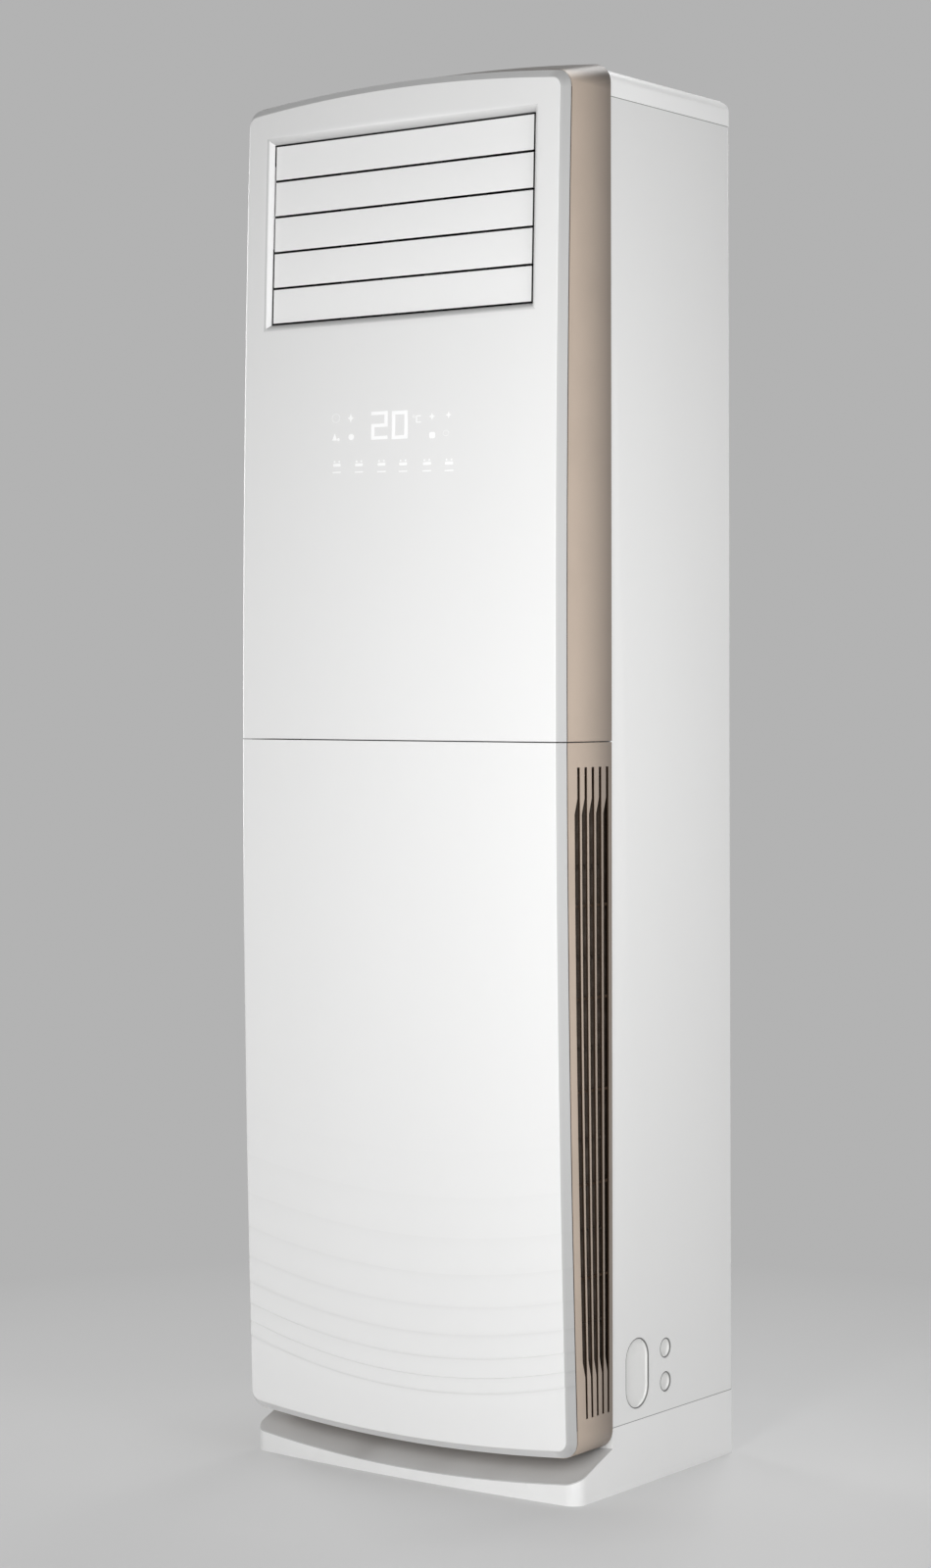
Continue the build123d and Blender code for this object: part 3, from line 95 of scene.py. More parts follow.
# ------------------------------------------------------------------ shader maths
class Signal:
    """A number inside a material, on which Python's operators add Math nodes."""

    def __init__(self, sheet: "ShaderSheet", socket: bpy.types.NodeSocket) -> None:
        """Keep the sheet and the socket that carries the number."""
        self.sheet = sheet
        self.socket = socket

    def _math(self, operation: str, *values: "Signal | float") -> "Signal":
        """Add one Math node.

        Args:
            operation: The node's operation.
            values: Its inputs in order.

        Returns:
            The node's result.
        """
        node = self.sheet.node(
            "ShaderNodeMath", {"operation": operation}, dict(enumerate(values))
        )
        return Signal(self.sheet, node.outputs[0])

    def __add__(self, other: "Signal | float") -> "Signal":
        """Sum."""
        return self._math("ADD", self, other)

    def __radd__(self, other: float) -> "Signal":
        """Sum with a number first."""
        return self._math("ADD", other, self)

    def __sub__(self, other: "Signal | float") -> "Signal":
        """Difference."""
        return self._math("SUBTRACT", self, other)

    def __rsub__(self, other: float) -> "Signal":
        """Difference with a number first."""
        return self._math("SUBTRACT", other, self)

    def __mul__(self, other: "Signal | float") -> "Signal":
        """Product."""
        return self._math("MULTIPLY", self, other)

    def __rmul__(self, other: float) -> "Signal":
        """Product with a number first."""
        return self._math("MULTIPLY", other, self)

    def __truediv__(self, other: "Signal | float") -> "Signal":
        """Quotient."""
        return self._math("DIVIDE", self, other)

    def __pow__(self, other: float) -> "Signal":
        """Power."""
        return self._math("POWER", self, other)

    def __gt__(self, other: "Signal | float") -> "Signal":
        """One where this number is the larger, else zero."""
        return self._math("GREATER_THAN", self, other)

    def __lt__(self, other: "Signal | float") -> "Signal":
        """One where this number is the smaller, else zero."""
        return self._math("LESS_THAN", self, other)

    def __abs__(self) -> "Signal":
        """Size without its sign."""
        return self._math("ABSOLUTE", self)

    def wave(self, pitch: float) -> "Signal":
        """Sawtooth from 0 to 1 that repeats every pitch metres."""
        return self._math("FRACT", self * (1.0 / pitch))

    def ridge(self, pitch: float) -> "Signal":
        """Triangle from 0 to 1 and back that repeats every pitch metres."""
        return self._math("PINGPONG", self * (2.0 / pitch), 1.0)

    def maximum(self, other: "Signal | float") -> "Signal":
        """The larger of two numbers."""
        return self._math("MAXIMUM", self, other)

    def spread(self, low: float, high: float, to_low: float, to_high: float) -> "Signal":
        """Stretch a range of this number onto another one, and stop at its ends.

        Args:
            low: Start of the range that is read.
            high: End of the range that is read.
            to_low: Result at the start.
            to_high: Result at the end.

        Returns:
            The stretched number.
        """
        node = self.sheet.node(
            "ShaderNodeMapRange",
            {"clamp": True},
            {0: self, 1: low, 2: high, 3: to_low, 4: to_high},
        )
        return Signal(self.sheet, node.outputs[0])


class ShaderSheet:
    """The node sheet of a material or the world, with the few nodes that the finishes use."""

    def __init__(self, owner: bpy.types.Material | bpy.types.World) -> None:
        """Clear the owner's nodes.

        Args:
            owner: The material or world that the nodes belong to.
        """
        owner.use_nodes = True
        self.tree = owner.node_tree
        self.tree.nodes.clear()
        is_world = isinstance(owner, bpy.types.World)
        self.output = self.node("ShaderNodeOutputWorld" if is_world else "ShaderNodeOutputMaterial")

    @cached_property
    def place(self) -> bpy.types.NodeSocket:
        """Object coordinates."""
        return self.node("ShaderNodeTexCoord").outputs["Object"]

    def node(
        self, kind: str, settings: dict[str, object] | None = None, values: dict | None = None
    ) -> bpy.types.Node:
        """Add one node: its type, then its settings, then its sockets.

        Args:
            kind: The node's type.
            settings: Attributes that are set first.
            values: Socket name or number to a value, a socket or a Signal.

        Returns:
            The new node.
        """
        made = self.tree.nodes.new(kind)
        for name, value in (settings or {}).items():
            setattr(made, name, value)
        for name, value in (values or {}).items():
            if isinstance(value, Signal):
                value = value.socket
            if isinstance(value, bpy.types.NodeSocket):
                self.tree.links.new(value, made.inputs[name])
            else:
                made.inputs[name].default_value = value
        return made

    def stretched(self, scale: Sequence[float]) -> bpy.types.NodeSocket:
        """Object coordinates, scaled along each axis."""
        node = self.node("ShaderNodeMapping", {}, {"Vector": self.place, "Scale": tuple(scale)})
        return node.outputs[0]

    def axis(self, letter: str) -> Signal:
        """One Object coordinate, in metres."""
        node = self.node("ShaderNodeSeparateXYZ", {}, {0: self.place})
        return Signal(self, node.outputs[letter])

    def noise(
        self, scale: float, detail: float = 2.0, stretch: Sequence[float] = (1.0, 1.0, 1.0)
    ) -> Signal:
        """Soft noise from 0 to 1.

        Args:
            scale: Features per metre.
            detail: Octaves.
            stretch: Extra scale along each axis.

        Returns:
            The noise.
        """
        values = {"Vector": self.stretched(stretch), "Scale": scale, "Detail": detail}
        return Signal(self, self.node("ShaderNodeTexNoise", {}, values).outputs[0])

    def cells(self, scale: float) -> tuple[Signal, bpy.types.NodeSocket]:
        """Voronoi cells.

        Args:
            scale: Cells per metre.

        Returns:
            The distance from a cell's middle, and a colour that is the same all over a cell.
        """
        node = self.node("ShaderNodeTexVoronoi", {}, {"Vector": self.place, "Scale": scale})
        return Signal(self, node.outputs["Distance"]), node.outputs["Color"]

    def grey(self, colour: bpy.types.NodeSocket) -> Signal:
        """Brightness of a colour."""
        return Signal(self, self.node("ShaderNodeRGBToBW", {}, {0: colour}).outputs[0])

    def blend(
        self,
        factor: Signal | float,
        first: Colour | bpy.types.NodeSocket,
        second: Colour | bpy.types.NodeSocket,
    ) -> bpy.types.NodeSocket:
        """Mix two colours.

        Args:
            factor: 0 for the first colour, 1 for the second.
            first: A colour or a colour socket.
            second: A colour or a colour socket.

        Returns:
            The mixed colour.
        """
        sides = [(*c, 1.0) if isinstance(c, tuple) else c for c in (first, second)]
        node = self.node(
            "ShaderNodeMix",
            {"data_type": "RGBA", "clamp_factor": True},
            {0: factor, 6: sides[0], 7: sides[1]},
        )
        return node.outputs[2]

    def bump(
        self, height: Signal, distance: float, below: bpy.types.NodeSocket | None = None
    ) -> bpy.types.NodeSocket:
        """Relief from a height of 0 to 1.

        Args:
            height: The relief.
            distance: Metres between 0 and 1.
            below: A bump that this one lies on.

        Returns:
            The normal.
        """
        values: dict = {"Strength": 1.0, "Distance": distance, "Height": height}
        if below is not None:
            values["Normal"] = below
        return self.node("ShaderNodeBump", {}, values).outputs[0]

    def seen_directly(self) -> Signal:
        """Tell what is looked at from light that falls on things.

        Returns:
            One for what the camera, a mirror or glass sees, else zero.
        """
        path = self.node("ShaderNodeLightPath")
        kinds = ("Is Camera Ray", "Is Glossy Ray", "Is Transmission Ray")
        camera, glossy, through = (Signal(self, path.outputs[kind]) for kind in kinds)
        return camera.maximum(glossy).maximum(through)

    def glow(self, colour: Colour, kind: str = "ShaderNodeEmission") -> bpy.types.NodeSocket:
        """A plain light of one colour, at a strength of 1."""
        return self.node(kind, {}, {0: (*colour, 1.0)}).outputs[0]

    def either(
        self, factor: Signal, first: bpy.types.NodeSocket, second: bpy.types.NodeSocket
    ) -> bpy.types.NodeSocket:
        """Mix two shaders."""
        return self.node("ShaderNodeMixShader", {}, {0: factor, 1: first, 2: second}).outputs[0]

    def show(self, shader: bpy.types.NodeSocket) -> None:
        """Join a shader to the output."""
        self.tree.links.new(shader, self.output.inputs[0])

    def surface(self, **sockets: object) -> bpy.types.NodeSocket:
        """Add the surface shader.

        Args:
            sockets: Socket names of the shader, with _ for each space, and their values.

        Returns:
            The shader.
        """
        values = {}
        for name, value in sockets.items():
            is_colour = isinstance(value, tuple) and len(value) == 3
            values[name.replace("_", " ")] = (*value, 1.0) if is_colour else value
        return self.node("ShaderNodeBsdfPrincipled", {}, values).outputs[0]


# ---------------------------------------------------------------- front geometry
@dataclass(frozen=True)
class BowedOutline:
    """Outline of the front seen from ahead: bowed foot and top, straight sides, round corners."""

    half: float = 0.2645
    foot: float = 0.06175
    top: float = 1.801
    foot_arch: float = 0.0142
    top_arch: float = 0.0139
    corner: float = 0.022
    bevel: float = 0.010

    def edge(self, station: float, inset: float, upper: bool) -> tuple[float, float]:
        """One point of the foot or top edge.

        Args:
            station: 0 at the middle, 1 where the right corner starts, 2 where it ends, and
                below 0 on the left.
            inset: How far inside the outline the point lies.
            upper: The top edge instead of the foot edge.

        Returns:
            Its X and Z.
        """
        bow = self.top_arch if upper else self.foot_arch
        side = self.half - inset
        radius = self.corner - inset
        sweep = (side**2 + bow**2) / (2 * bow)
        corner_x = side - radius
        rise = sweep - bow - math.sqrt((sweep - radius) ** 2 - corner_x**2)
        share = abs(station)
        start = math.asin(corner_x / (sweep - radius))
        if share <= 1:
            x = share * corner_x * sweep / (sweep - radius)
            up = sweep - bow - math.sqrt(sweep**2 - x * x)
        else:
            angle = start + (share - 1) * (math.pi / 2 - start)
            x = corner_x + radius * math.sin(angle)
            up = rise - radius * math.cos(angle)
        z = self.top - inset - up if upper else self.foot + inset + up
        return math.copysign(x, station), z


@dataclass(frozen=True)
class FrontFace:
    """The doubly curved face: one large arc up the middle, crowned across."""

    outline: BowedOutline = BowedOutline()
    crest_y: float = -0.205
    low_setback: float = 0.0225
    high_setback: float = 0.0125
    crown: float = 0.0051

    def crest_at(self, z: float) -> float:
        """Y of the crest line, an arc through its foot, its most forward point and its top.

        Args:
            z: The height.

        Returns:
            Y of the crest at that height.
        """
        low_z = self.outline.foot - self.outline.foot_arch
        high_z = self.outline.top + self.outline.top_arch
        middle = (low_z + high_z) / 2
        low = (self.low_setback, low_z - middle)
        high = (self.high_setback, high_z - middle)
        pull = [(y * y + s * s) / 2 for y, s in (low, high)]
        turn = low[0] * high[1] - high[0] * low[1]
        centre_y = (pull[0] * high[1] - pull[1] * low[1]) / turn
        centre_z = (low[0] * pull[1] - high[0] * pull[0]) / turn
        radius = math.hypot(centre_y, centre_z)
        return self.crest_y + centre_y - math.sqrt(radius**2 - (z - middle - centre_z) ** 2)

    def y_at(self, x: float, z: float) -> float:
        """Y of the face at a place seen from the front.

        Args:
            x: The place across the front.
            z: The place's height.

        Returns:
            Y of the face there.
        """
        sweep = (self.outline.half**2 + self.crown**2) / (2 * self.crown)
        reach = sweep - (self.crest_at(z) - self.crest_y)
        return self.crest_y + sweep - math.sqrt(reach**2 - x * x)


@dataclass(frozen=True)
class Ripples:
    """Shallow wave relief at the foot of the lower front, in arcs that spread upwards."""

    count: int = 10
    first_z: float = 0.1205
    step: float = 0.01664
    growth: float = 0.002716
    middle_x: float = 0.010
    first_radius: float = 0.95
    radius_growth: float = 1.07
    depth: float = 0.0011
    depth_fade: float = 1.3
    rise_power: float = 3.0
    step_from: float = 0.94
    foot_from: float = 0.6
    foot_step_from: float = 0.97

    def arc_z(self, index: float, x: float) -> float:
        """Height of one arc.

        Args:
            index: The arc's number, 0 for the lowest.
            x: The place across the front.

        Returns:
            The height there.
        """
        base = self.first_z + self.step * index + self.growth * index**2
        radius = self.first_radius + self.radius_growth * (base - self.first_z)
        return base + (x - self.middle_x) ** 2 / (2 * radius)

    def relief(self, band: int, share: float) -> float:
        """How far the face lies back on its way up from one arc to the next.

        Args:
            band: The arc below, or -1 under the first.
            share: 0 at the arc below, 1 at the arc above.

        Returns:
            Metres behind the plain face.
        """
        start = self.foot_from if band < 0 else 0.0
        rise = max(0.0, share - start) / (1.0 - start)
        fade = max(0.0, 1 - (band + 1) / self.count) ** self.depth_fade
        return self.depth * fade * rise**self.rise_power


@dataclass(frozen=True)
class Outlet:
    """The louver plane of the air outlet: its middle, lean, half sizes and the louvers' pitch."""

    y: float = -0.1877
    z: float = 1.630
    lean: float = 0.03
    half_wide: float = 0.2145
    half_tall: float = 0.1223
    pitch: float = 0.04844


# ---------------------------------------------------------------------- finishes
@dataclass(frozen=True)
class Finish:
    """What every finish has: the record's slot that it belongs to and its colour."""

    slot: str
    colour: Colour

    @property
    def in_record(self) -> bool:
        """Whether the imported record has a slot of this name."""
        return True

    def material(self) -> bpy.types.Material:
        """Build the finish, unless it is built already.

        Returns:
            The finish's material.
        """
        name = "finish_" + self.slot
        known = bpy.data.materials.get(name)
        if known is None:
            known = bpy.data.materials.new(name)
            sheet = ShaderSheet(known)
            sheet.show(self.shader(sheet))
        return known

    def shader(self, sheet: ShaderSheet) -> bpy.types.NodeSocket:
        """Lay the finish out on its sheet."""
        raise NotImplementedError


@dataclass(frozen=True)
class GlossMoulding(Finish):
    """Polished white moulding: a faint flow of tone, fine swirl marks and a clear top layer."""

    roughness: float = 0.24
    coat: float = 0.35
    peel: float = 0.0000015

    def shader(self, sheet: ShaderSheet) -> bpy.types.NodeSocket:
        """Lay the finish out on its sheet.

        Args:
            sheet: The sheet of the finish's material.

        Returns:
            The surface shader.
        """
        swirl = sheet.noise(240.0, 4.0, (1.0, 1.0, 0.12))
        handled = sheet.noise(9.0, 3.0)
        rough = swirl.spread(0.35, 0.7, -0.012, 0.012) + handled.spread(0.4, 0.7, 0.0, 0.03)
        return sheet.surface(
            Base_Color=self.tone(sheet),
            Roughness=rough + self.roughness,
            Normal=sheet.bump(sheet.noise(420.0, 1.0), self.peel),
            Coat_Weight=self.coat,
            Coat_Roughness=0.35,
            IOR=1.40,
        )

    def tone(self, sheet: ShaderSheet) -> bpy.types.NodeSocket:
        """Give the colour its faint flow.

        Args:
            sheet: The sheet of the finish's material.

        Returns:
            The colour.
        """
        flow = sheet.noise(2.3, 2.0, (1.0, 1.0, 0.4))
        dark = tuple(0.985 * c for c in self.colour)
        return sheet.blend(flow.spread(0.3, 0.7, 0.0, 1.0), self.colour, dark)


@dataclass(frozen=True)
class FaceMoulding(GlossMoulding):
    """Polished moulding of the two front panels, with painted shade on its bevel, under the arcs of
    its wave relief and on the walls of the outlet's mouth.
    """

    outline: BowedOutline = BowedOutline()
    outlet: Outlet = Outlet()
    ripples: Ripples = Ripples()
    # The shades below are painted shade; side_lit is the plain colour and side_dim the painted
    # shade of the mouth's left wall.
    bevel_start: float = 0.0008
    bevel_shade: float = 0.12
    right_from: float = 0.235
    right_to: float = 0.258
    right_shade: float = 0.38
    mouth: float = 0.0085
    mouth_shade: float = 0.40
    lit_from: float = 0.35
    side_lit: Colour = (0.86, 0.86, 0.86)
    side_dim: Colour = (0.62, 0.62, 0.62)
    ripple_shade: float = 0.075
    ripple_power: float = 4.0
    ripple_fade: float = 1.1
    ripple_lowest: float = -0.999

    def tone(self, sheet: ShaderSheet) -> bpy.types.NodeSocket:
        """Give the colour its flow and the painted shade of the bevel, the wave relief and the
        mouth's walls.

        Args:
            sheet: The sheet of the finish's material.

        Returns:
            The colour.
        """
        plain = super().tone(sheet)
        bevel = self.outline.bevel
        # Painted shade on the bevel, stronger on the right side.
        bevelled = self.from_edge(sheet).spread(bevel, bevel - self.bevel_start, 0.0, 1.0)
        right = sheet.axis("X").spread(self.right_from, self.right_to, 0.0, self.right_shade)
        toned = sheet.blend(bevelled * (right + self.bevel_shade), plain, BLACK)
        # Painted shade under each arc of the wave relief.
        toned = sheet.blend(self.below_arc(sheet), toned, BLACK)
        # Painted shade on the top and bottom walls of the outlet's mouth.
        wide = abs(sheet.axis("X")) - self.outlet.half_wide
        tall = abs(sheet.axis("Z") - self.outlet.z) - self.outlet.half_tall
        reach = wide.maximum(tall).spread(0.0, self.mouth, 1.0, 0.0)
        along = tall > wide
        toned = sheet.blend(reach**0.5 * along * self.mouth_shade, toned, BLACK)
        # The mouth's left wall: plain colour next to the louver plane, painted shade on its outer
        # part.
        left = (sheet.axis("X") < 0.0) * (1.0 - along) * (reach > 0.0)
        side = sheet.blend(reach > self.lit_from, self.side_dim, self.side_lit)
        return sheet.blend(left, toned, side)

    def below_arc(self, sheet: ShaderSheet) -> Signal:
        """Work out the painted shade under each arc of the wave relief, which fades upwards.

        Args:
            sheet: The sheet of the finish's material.

        Returns:
            The shade, from 0.
        """
        wave = self.ripples
        aside = sheet.axis("X") - wave.middle_x
        radius = (sheet.axis("Z") - wave.first_z) * wave.radius_growth + wave.first_radius
        base = sheet.axis("Z") - aside * aside / (radius * 2.0) - wave.first_z
        root = (base * (4.0 * wave.growth) + wave.step**2).maximum(0.0) ** 0.5
        index = (root - wave.step) * (0.5 / wave.growth)
        share = index.wave(1.0) ** self.ripple_power
        fade = index.spread(-1.0, wave.count - 1.0, 1.0, 0.0) ** self.ripple_fade
        return share * fade * (index > self.ripple_lowest) * self.ripple_shade

    def from_edge(self, sheet: ShaderSheet) -> Signal:
        """Work out the distance inside the bowed outline.

        Args:
            sheet: The sheet of the finish's material.

        Returns:
            The distance in metres, as far as the corner radius.
        """
        shape = self.outline
        across = abs(sheet.axis("X"))
        bow = 1.0 - across * across * (1.0 / shape.half**2)
        over = sheet.axis("Z") - bow * shape.top_arch - shape.top
        under = shape.foot - bow * shape.foot_arch - sheet.axis("Z")
        up = (over.maximum(under) + shape.corner).maximum(0.0)
        side = (across - (shape.half - shape.corner)).maximum(0.0)
        return shape.corner - (side * side + up * up) ** 0.5


@dataclass(frozen=True)
class LouverMoulding(GlossMoulding):
    """Polished moulding of the louvers, with painted shadow along their top and bottom edges and at
    their ends.
    """

    outlet: Outlet = Outlet()
    gap_shadow: float = 0.00155
    end_shadow_from: float = 0.2119

    def tone(self, sheet: ShaderSheet) -> bpy.types.NodeSocket:
        """Give the colour its flow and the painted shadow along the edges and at the ends.

        Args:
            sheet: The sheet of the finish's material.

        Returns:
            The colour.
        """
        # Painted shadow: near-black bands along the louvers' top and bottom edges, where they meet
        # the gaps, and at their ends.
        from_gap = sheet.axis("Z") - (self.outlet.z + 0.5 * self.outlet.pitch)
        gap_shadow = from_gap.ridge(self.outlet.pitch) < 2.0 * self.gap_shadow / self.outlet.pitch
        end = abs(sheet.axis("X")) > self.end_shadow_from
        return sheet.blend(gap_shadow.maximum(end), super().tone(sheet), (0.01, 0.01, 0.01))


@dataclass(frozen=True)
class SatinMoulding(Finish):
    """Moulding with a spark-eroded grain and a little dust in its tone."""

    roughness: float = 0.45
    grain: float = 0.00003
    grain_scale: float = 1500.0
    dust: float = 0.05

    def shader(self, sheet: ShaderSheet) -> bpy.types.NodeSocket:
        """Lay the finish out on its sheet.

        Args:
            sheet: The sheet of the finish's material.

        Returns:
            The surface shader.
        """
        cell, _ = sheet.cells(self.grain_scale)
        soft = sheet.noise(self.grain_scale * 0.45, 3.0)
        return sheet.surface(
            Base_Color=self.tone(sheet),
            Roughness=soft.spread(0.3, 0.7, -0.06, 0.06) + self.roughness,
            Normal=sheet.bump(cell * 0.5 + soft * 0.5, self.grain),
        )

    def tone(self, sheet: ShaderSheet) -> bpy.types.NodeSocket:
        """Give the colour a little dust.

        Args:
            sheet: The sheet of the finish's material.

        Returns:
            The colour.
        """
        cloud = sheet.noise(6.0, 4.0)
        dusty = tuple(c + (0.55 - c) * self.dust for c in self.colour)
        return sheet.blend(cloud.spread(0.42, 0.72, 0.0, 1.0), self.colour, dusty)


@dataclass(frozen=True)
class PlinthMoulding(SatinMoulding):
    """Moulding of the base, with painted shade on the sloping top of its nose."""

    trim_y: float = -0.088
    rear_z: float = 0.059
    arch: float = 0.0105
    half: float = 0.265
    fall: float = 0.3935
    slope_shade: float = 0.37
    slope_start: float = 0.0008

    def tone(self, sheet: ShaderSheet) -> bpy.types.NodeSocket:
        """Darken the dusty colour on the slope with painted shade.

        Args:
            sheet: The sheet of the finish's material.

        Returns:
            The colour.
        """
        across = sheet.axis("X")
        ahead = self.trim_y - sheet.axis("Y")
        bow = 1.0 - across * across * (1.0 / self.half**2)
        top = self.rear_z - bow * self.arch - ahead * self.fall
        above = sheet.axis("Z") - top
        # Painted shade on the sloping top of the nose.
        shaded_slope = above.spread(-2.0 * self.slope_start, -self.slope_start, 0.0, 1.0) * (ahead > 0.0)
        return sheet.blend(shaded_slope * self.slope_shade, super().tone(sheet), BLACK)


@dataclass(frozen=True)
class DishMoulding(SatinMoulding):
    """Moulding of the pipe knock-outs, with painted shade on their upright walls."""

    shaded_wall_from: float = 0.2613
    wall_shade: float = 0.78

    def tone(self, sheet: ShaderSheet) -> bpy.types.NodeSocket:
        """The dusty colour, with painted shade on the walls."""
        # Painted shade on the upright walls of the knock-outs.
        wall = abs(sheet.axis("X")) > self.shaded_wall_from
        return sheet.blend(wall * self.wall_shade, super().tone(sheet), BLACK)


@dataclass(frozen=True)
class PowderCoat(Finish):
    """Baked powder on sheet steel, with its orange peel and the shadow in its seams."""

    roughness: float = 0.36
    seams: tuple[float, ...] = ()
    seam_half: float = 0.0007

    def shader(self, sheet: ShaderSheet) -> bpy.types.NodeSocket:
        """Lay the finish out on its sheet.

        Args:
            sheet: The sheet of the finish's material.

        Returns:
            The surface shader.
        """
        peel = sheet.noise(330.0, 2.0)
        fine = sheet.noise(1500.0, 1.0)
        wash = sheet.noise(1.7, 3.0, (1.0, 1.0, 0.5))
        shade = tuple(0.975 * c for c in self.colour)
        tone = sheet.blend(wash.spread(0.35, 0.7, 0.0, 1.0), self.colour, shade)
        return sheet.surface(
            Base_Color=self.with_seams(sheet, tone),
            Roughness=peel.spread(0.3, 0.7, -0.05, 0.05) + self.roughness,
            Normal=sheet.bump(fine, 0.000001, sheet.bump(peel, 0.000004)),
        )

    def with_seams(self, sheet: ShaderSheet, tone: bpy.types.NodeSocket) -> bpy.types.NodeSocket:
        """Darken the paint in a narrow line at each seam's height.

        Args:
            sheet: The sheet of the finish's material.
            tone: The colour of the paint.

        Returns:
            The colour with its lines.
        """
        # Painted shadow: a dark line at each seam's height.
        for height in self.seams:
            away = abs(sheet.axis("Z") - height)
            line = away.spread(self.seam_half, self.seam_half * 1.6, 0.85, 0.0)
            tone = sheet.blend(line, tone, (0.10, 0.10, 0.10))
        return tone


@dataclass(frozen=True)
class MetallicPaint(Finish):
    """Champagne paint: flakes of several tones, with painted shade that darkens it toward the rear,
    on the top and on the inner faces.
    """

    shaded_rear: Colour = (0.27, 0.225, 0.19)
    # Colour of the painted shade on the inner faces of the trim, between the slots' foot and top.
    inside: Colour = (0.040, 0.022, 0.011)
    flake_scale: float = 2600.0
    roughness: float = 0.42
    metallic: float = 0.2
    front_y: float = -0.176
    rear_y: float = -0.094
    turn_z: float = 1.788
    skin_x: float = 0.2643
    slot_foot: float = 0.095
    slot_top: float = 1.780
    rear_shade_power: float = 1.4
    turn_height: float = 0.02
    top_shade_share: float = 0.42

    def shader(self, sheet: ShaderSheet) -> bpy.types.NodeSocket:
        """Lay the finish out on its sheet.

        Args:
            sheet: The sheet of the finish's material.

        Returns:
            The surface shader.
        """
        _, tint = sheet.cells(self.flake_scale)
        flake = sheet.grey(tint)
        cloud = sheet.noise(14.0, 3.0)
        # Painted shade: darker toward the rear of the trim and on its turned top.
        back = sheet.axis("Y").spread(self.front_y, self.rear_y, 0.0, 1.0)
        over = sheet.axis("Z").spread(self.turn_z, self.turn_z + self.turn_height, 0.0, 1.0)
        paint = sheet.blend(back**self.rear_shade_power, self.colour, self.shaded_rear)
        paint = sheet.blend(over, paint, tuple(self.top_shade_share * c for c in self.shaded_rear))
        deep = sheet.blend(0.10, paint, BLACK)
        speckled = sheet.blend(flake, deep, paint)
        worn = sheet.blend(cloud.spread(0.4, 0.7, 0.0, 0.05), speckled, BLACK)
        # Painted shade on the inner faces of the trim.
        within = abs(sheet.axis("X")) < self.skin_x
        beside = (sheet.axis("Z") > self.slot_foot) * (sheet.axis("Z") < self.slot_top)
        return sheet.surface(
            Base_Color=sheet.blend(within * beside, worn, self.inside),
            Metallic=flake.spread(0.2, 0.8, self.metallic - 0.1, self.metallic + 0.1),
            Roughness=flake.spread(0.0, 1.0, self.roughness - 0.05, self.roughness + 0.07),
            Normal=sheet.bump(flake, 0.000008),
            Coat_Weight=0.1,
            Coat_Roughness=0.3,
        )


@dataclass(frozen=True)
class ZincSheet(Finish):
    """Hot dipped sheet with its spangles and rolling marks."""

    spangle: float = 75.0

    def shader(self, sheet: ShaderSheet) -> bpy.types.NodeSocket:
        """Lay the finish out on its sheet.

        Args:
            sheet: The sheet of the finish's material.

        Returns:
            The surface shader.
        """
        edge, tint = sheet.cells(self.spangle)
        grain = sheet.grey(tint)
        rolled = sheet.noise(300.0, 2.0, (0.05, 1.0, 1.0))
        bright = tuple(1.06 * c for c in self.colour)
        dull = tuple(0.9 * c for c in self.colour)
        return sheet.surface(
            Base_Color=sheet.blend(grain * 0.8 + rolled * 0.2, dull, bright),
            Metallic=1.0,
            Roughness=grain.spread(0.0, 1.0, 0.32, 0.52),
            Normal=sheet.bump(edge * 0.6 + rolled * 0.4, 0.00002),
        )


@dataclass(frozen=True)
class DrawnMetal(Finish):
    """Drawn, turned or plated metal with fine streaks and light staining."""

    roughness: float = 0.28
    streak: Sequence[float] = (1.0, 1.0, 0.04)
    stain: float = 0.25

    def shader(self, sheet: ShaderSheet) -> bpy.types.NodeSocket:
        """Lay the finish out on its sheet.

        Args:
            sheet: The sheet of the finish's material.

        Returns:
            The surface shader.
        """
        streaks = sheet.noise(900.0, 3.0, self.streak)
        blot = sheet.noise(26.0, 4.0)
        dark = tuple(0.55 * c for c in self.colour)
        return sheet.surface(
            Base_Color=sheet.blend(blot.spread(0.5, 0.8, 0.0, self.stain), self.colour, dark),
            Metallic=1.0,
            Roughness=streaks.spread(0.3, 0.7, -0.07, 0.1) + self.roughness,
            Normal=sheet.bump(streaks, 0.00001),
        )


@dataclass(frozen=True)
class FinStack(Finish):
    """Close pitched coil fins: bright fin edges, with painted shade in the gaps between them."""

    pitch: float = 0.0016
    tube_pitch: float = 0.0254

    def shader(self, sheet: ShaderSheet) -> bpy.types.NodeSocket:
        """Lay the finish out on its sheet.

        Args:
            sheet: The sheet of the finish's material.

        Returns:
            The surface shader.
        """
        fin = sheet.axis("X").ridge(self.pitch)
        edge = fin.spread(0.25, 0.65, 0.0, 1.0)
        bent = sheet.noise(30.0, 3.0, (1.0, 1.0, 0.15))
        louvre = sheet.axis("Z").ridge(self.tube_pitch).spread(0.0, 0.25, 0.75, 1.0)
        # Painted shade: the gaps between the fins take this dark colour.
        dark = tuple(0.16 * c for c in self.colour)
        return sheet.surface(
            Base_Color=sheet.blend(edge * louvre, dark, self.colour),
            Metallic=0.85,
            Roughness=bent.spread(0.3, 0.7, 0.3, 0.5),
            Normal=sheet.bump(edge + bent * 0.5, 0.0004),
        )


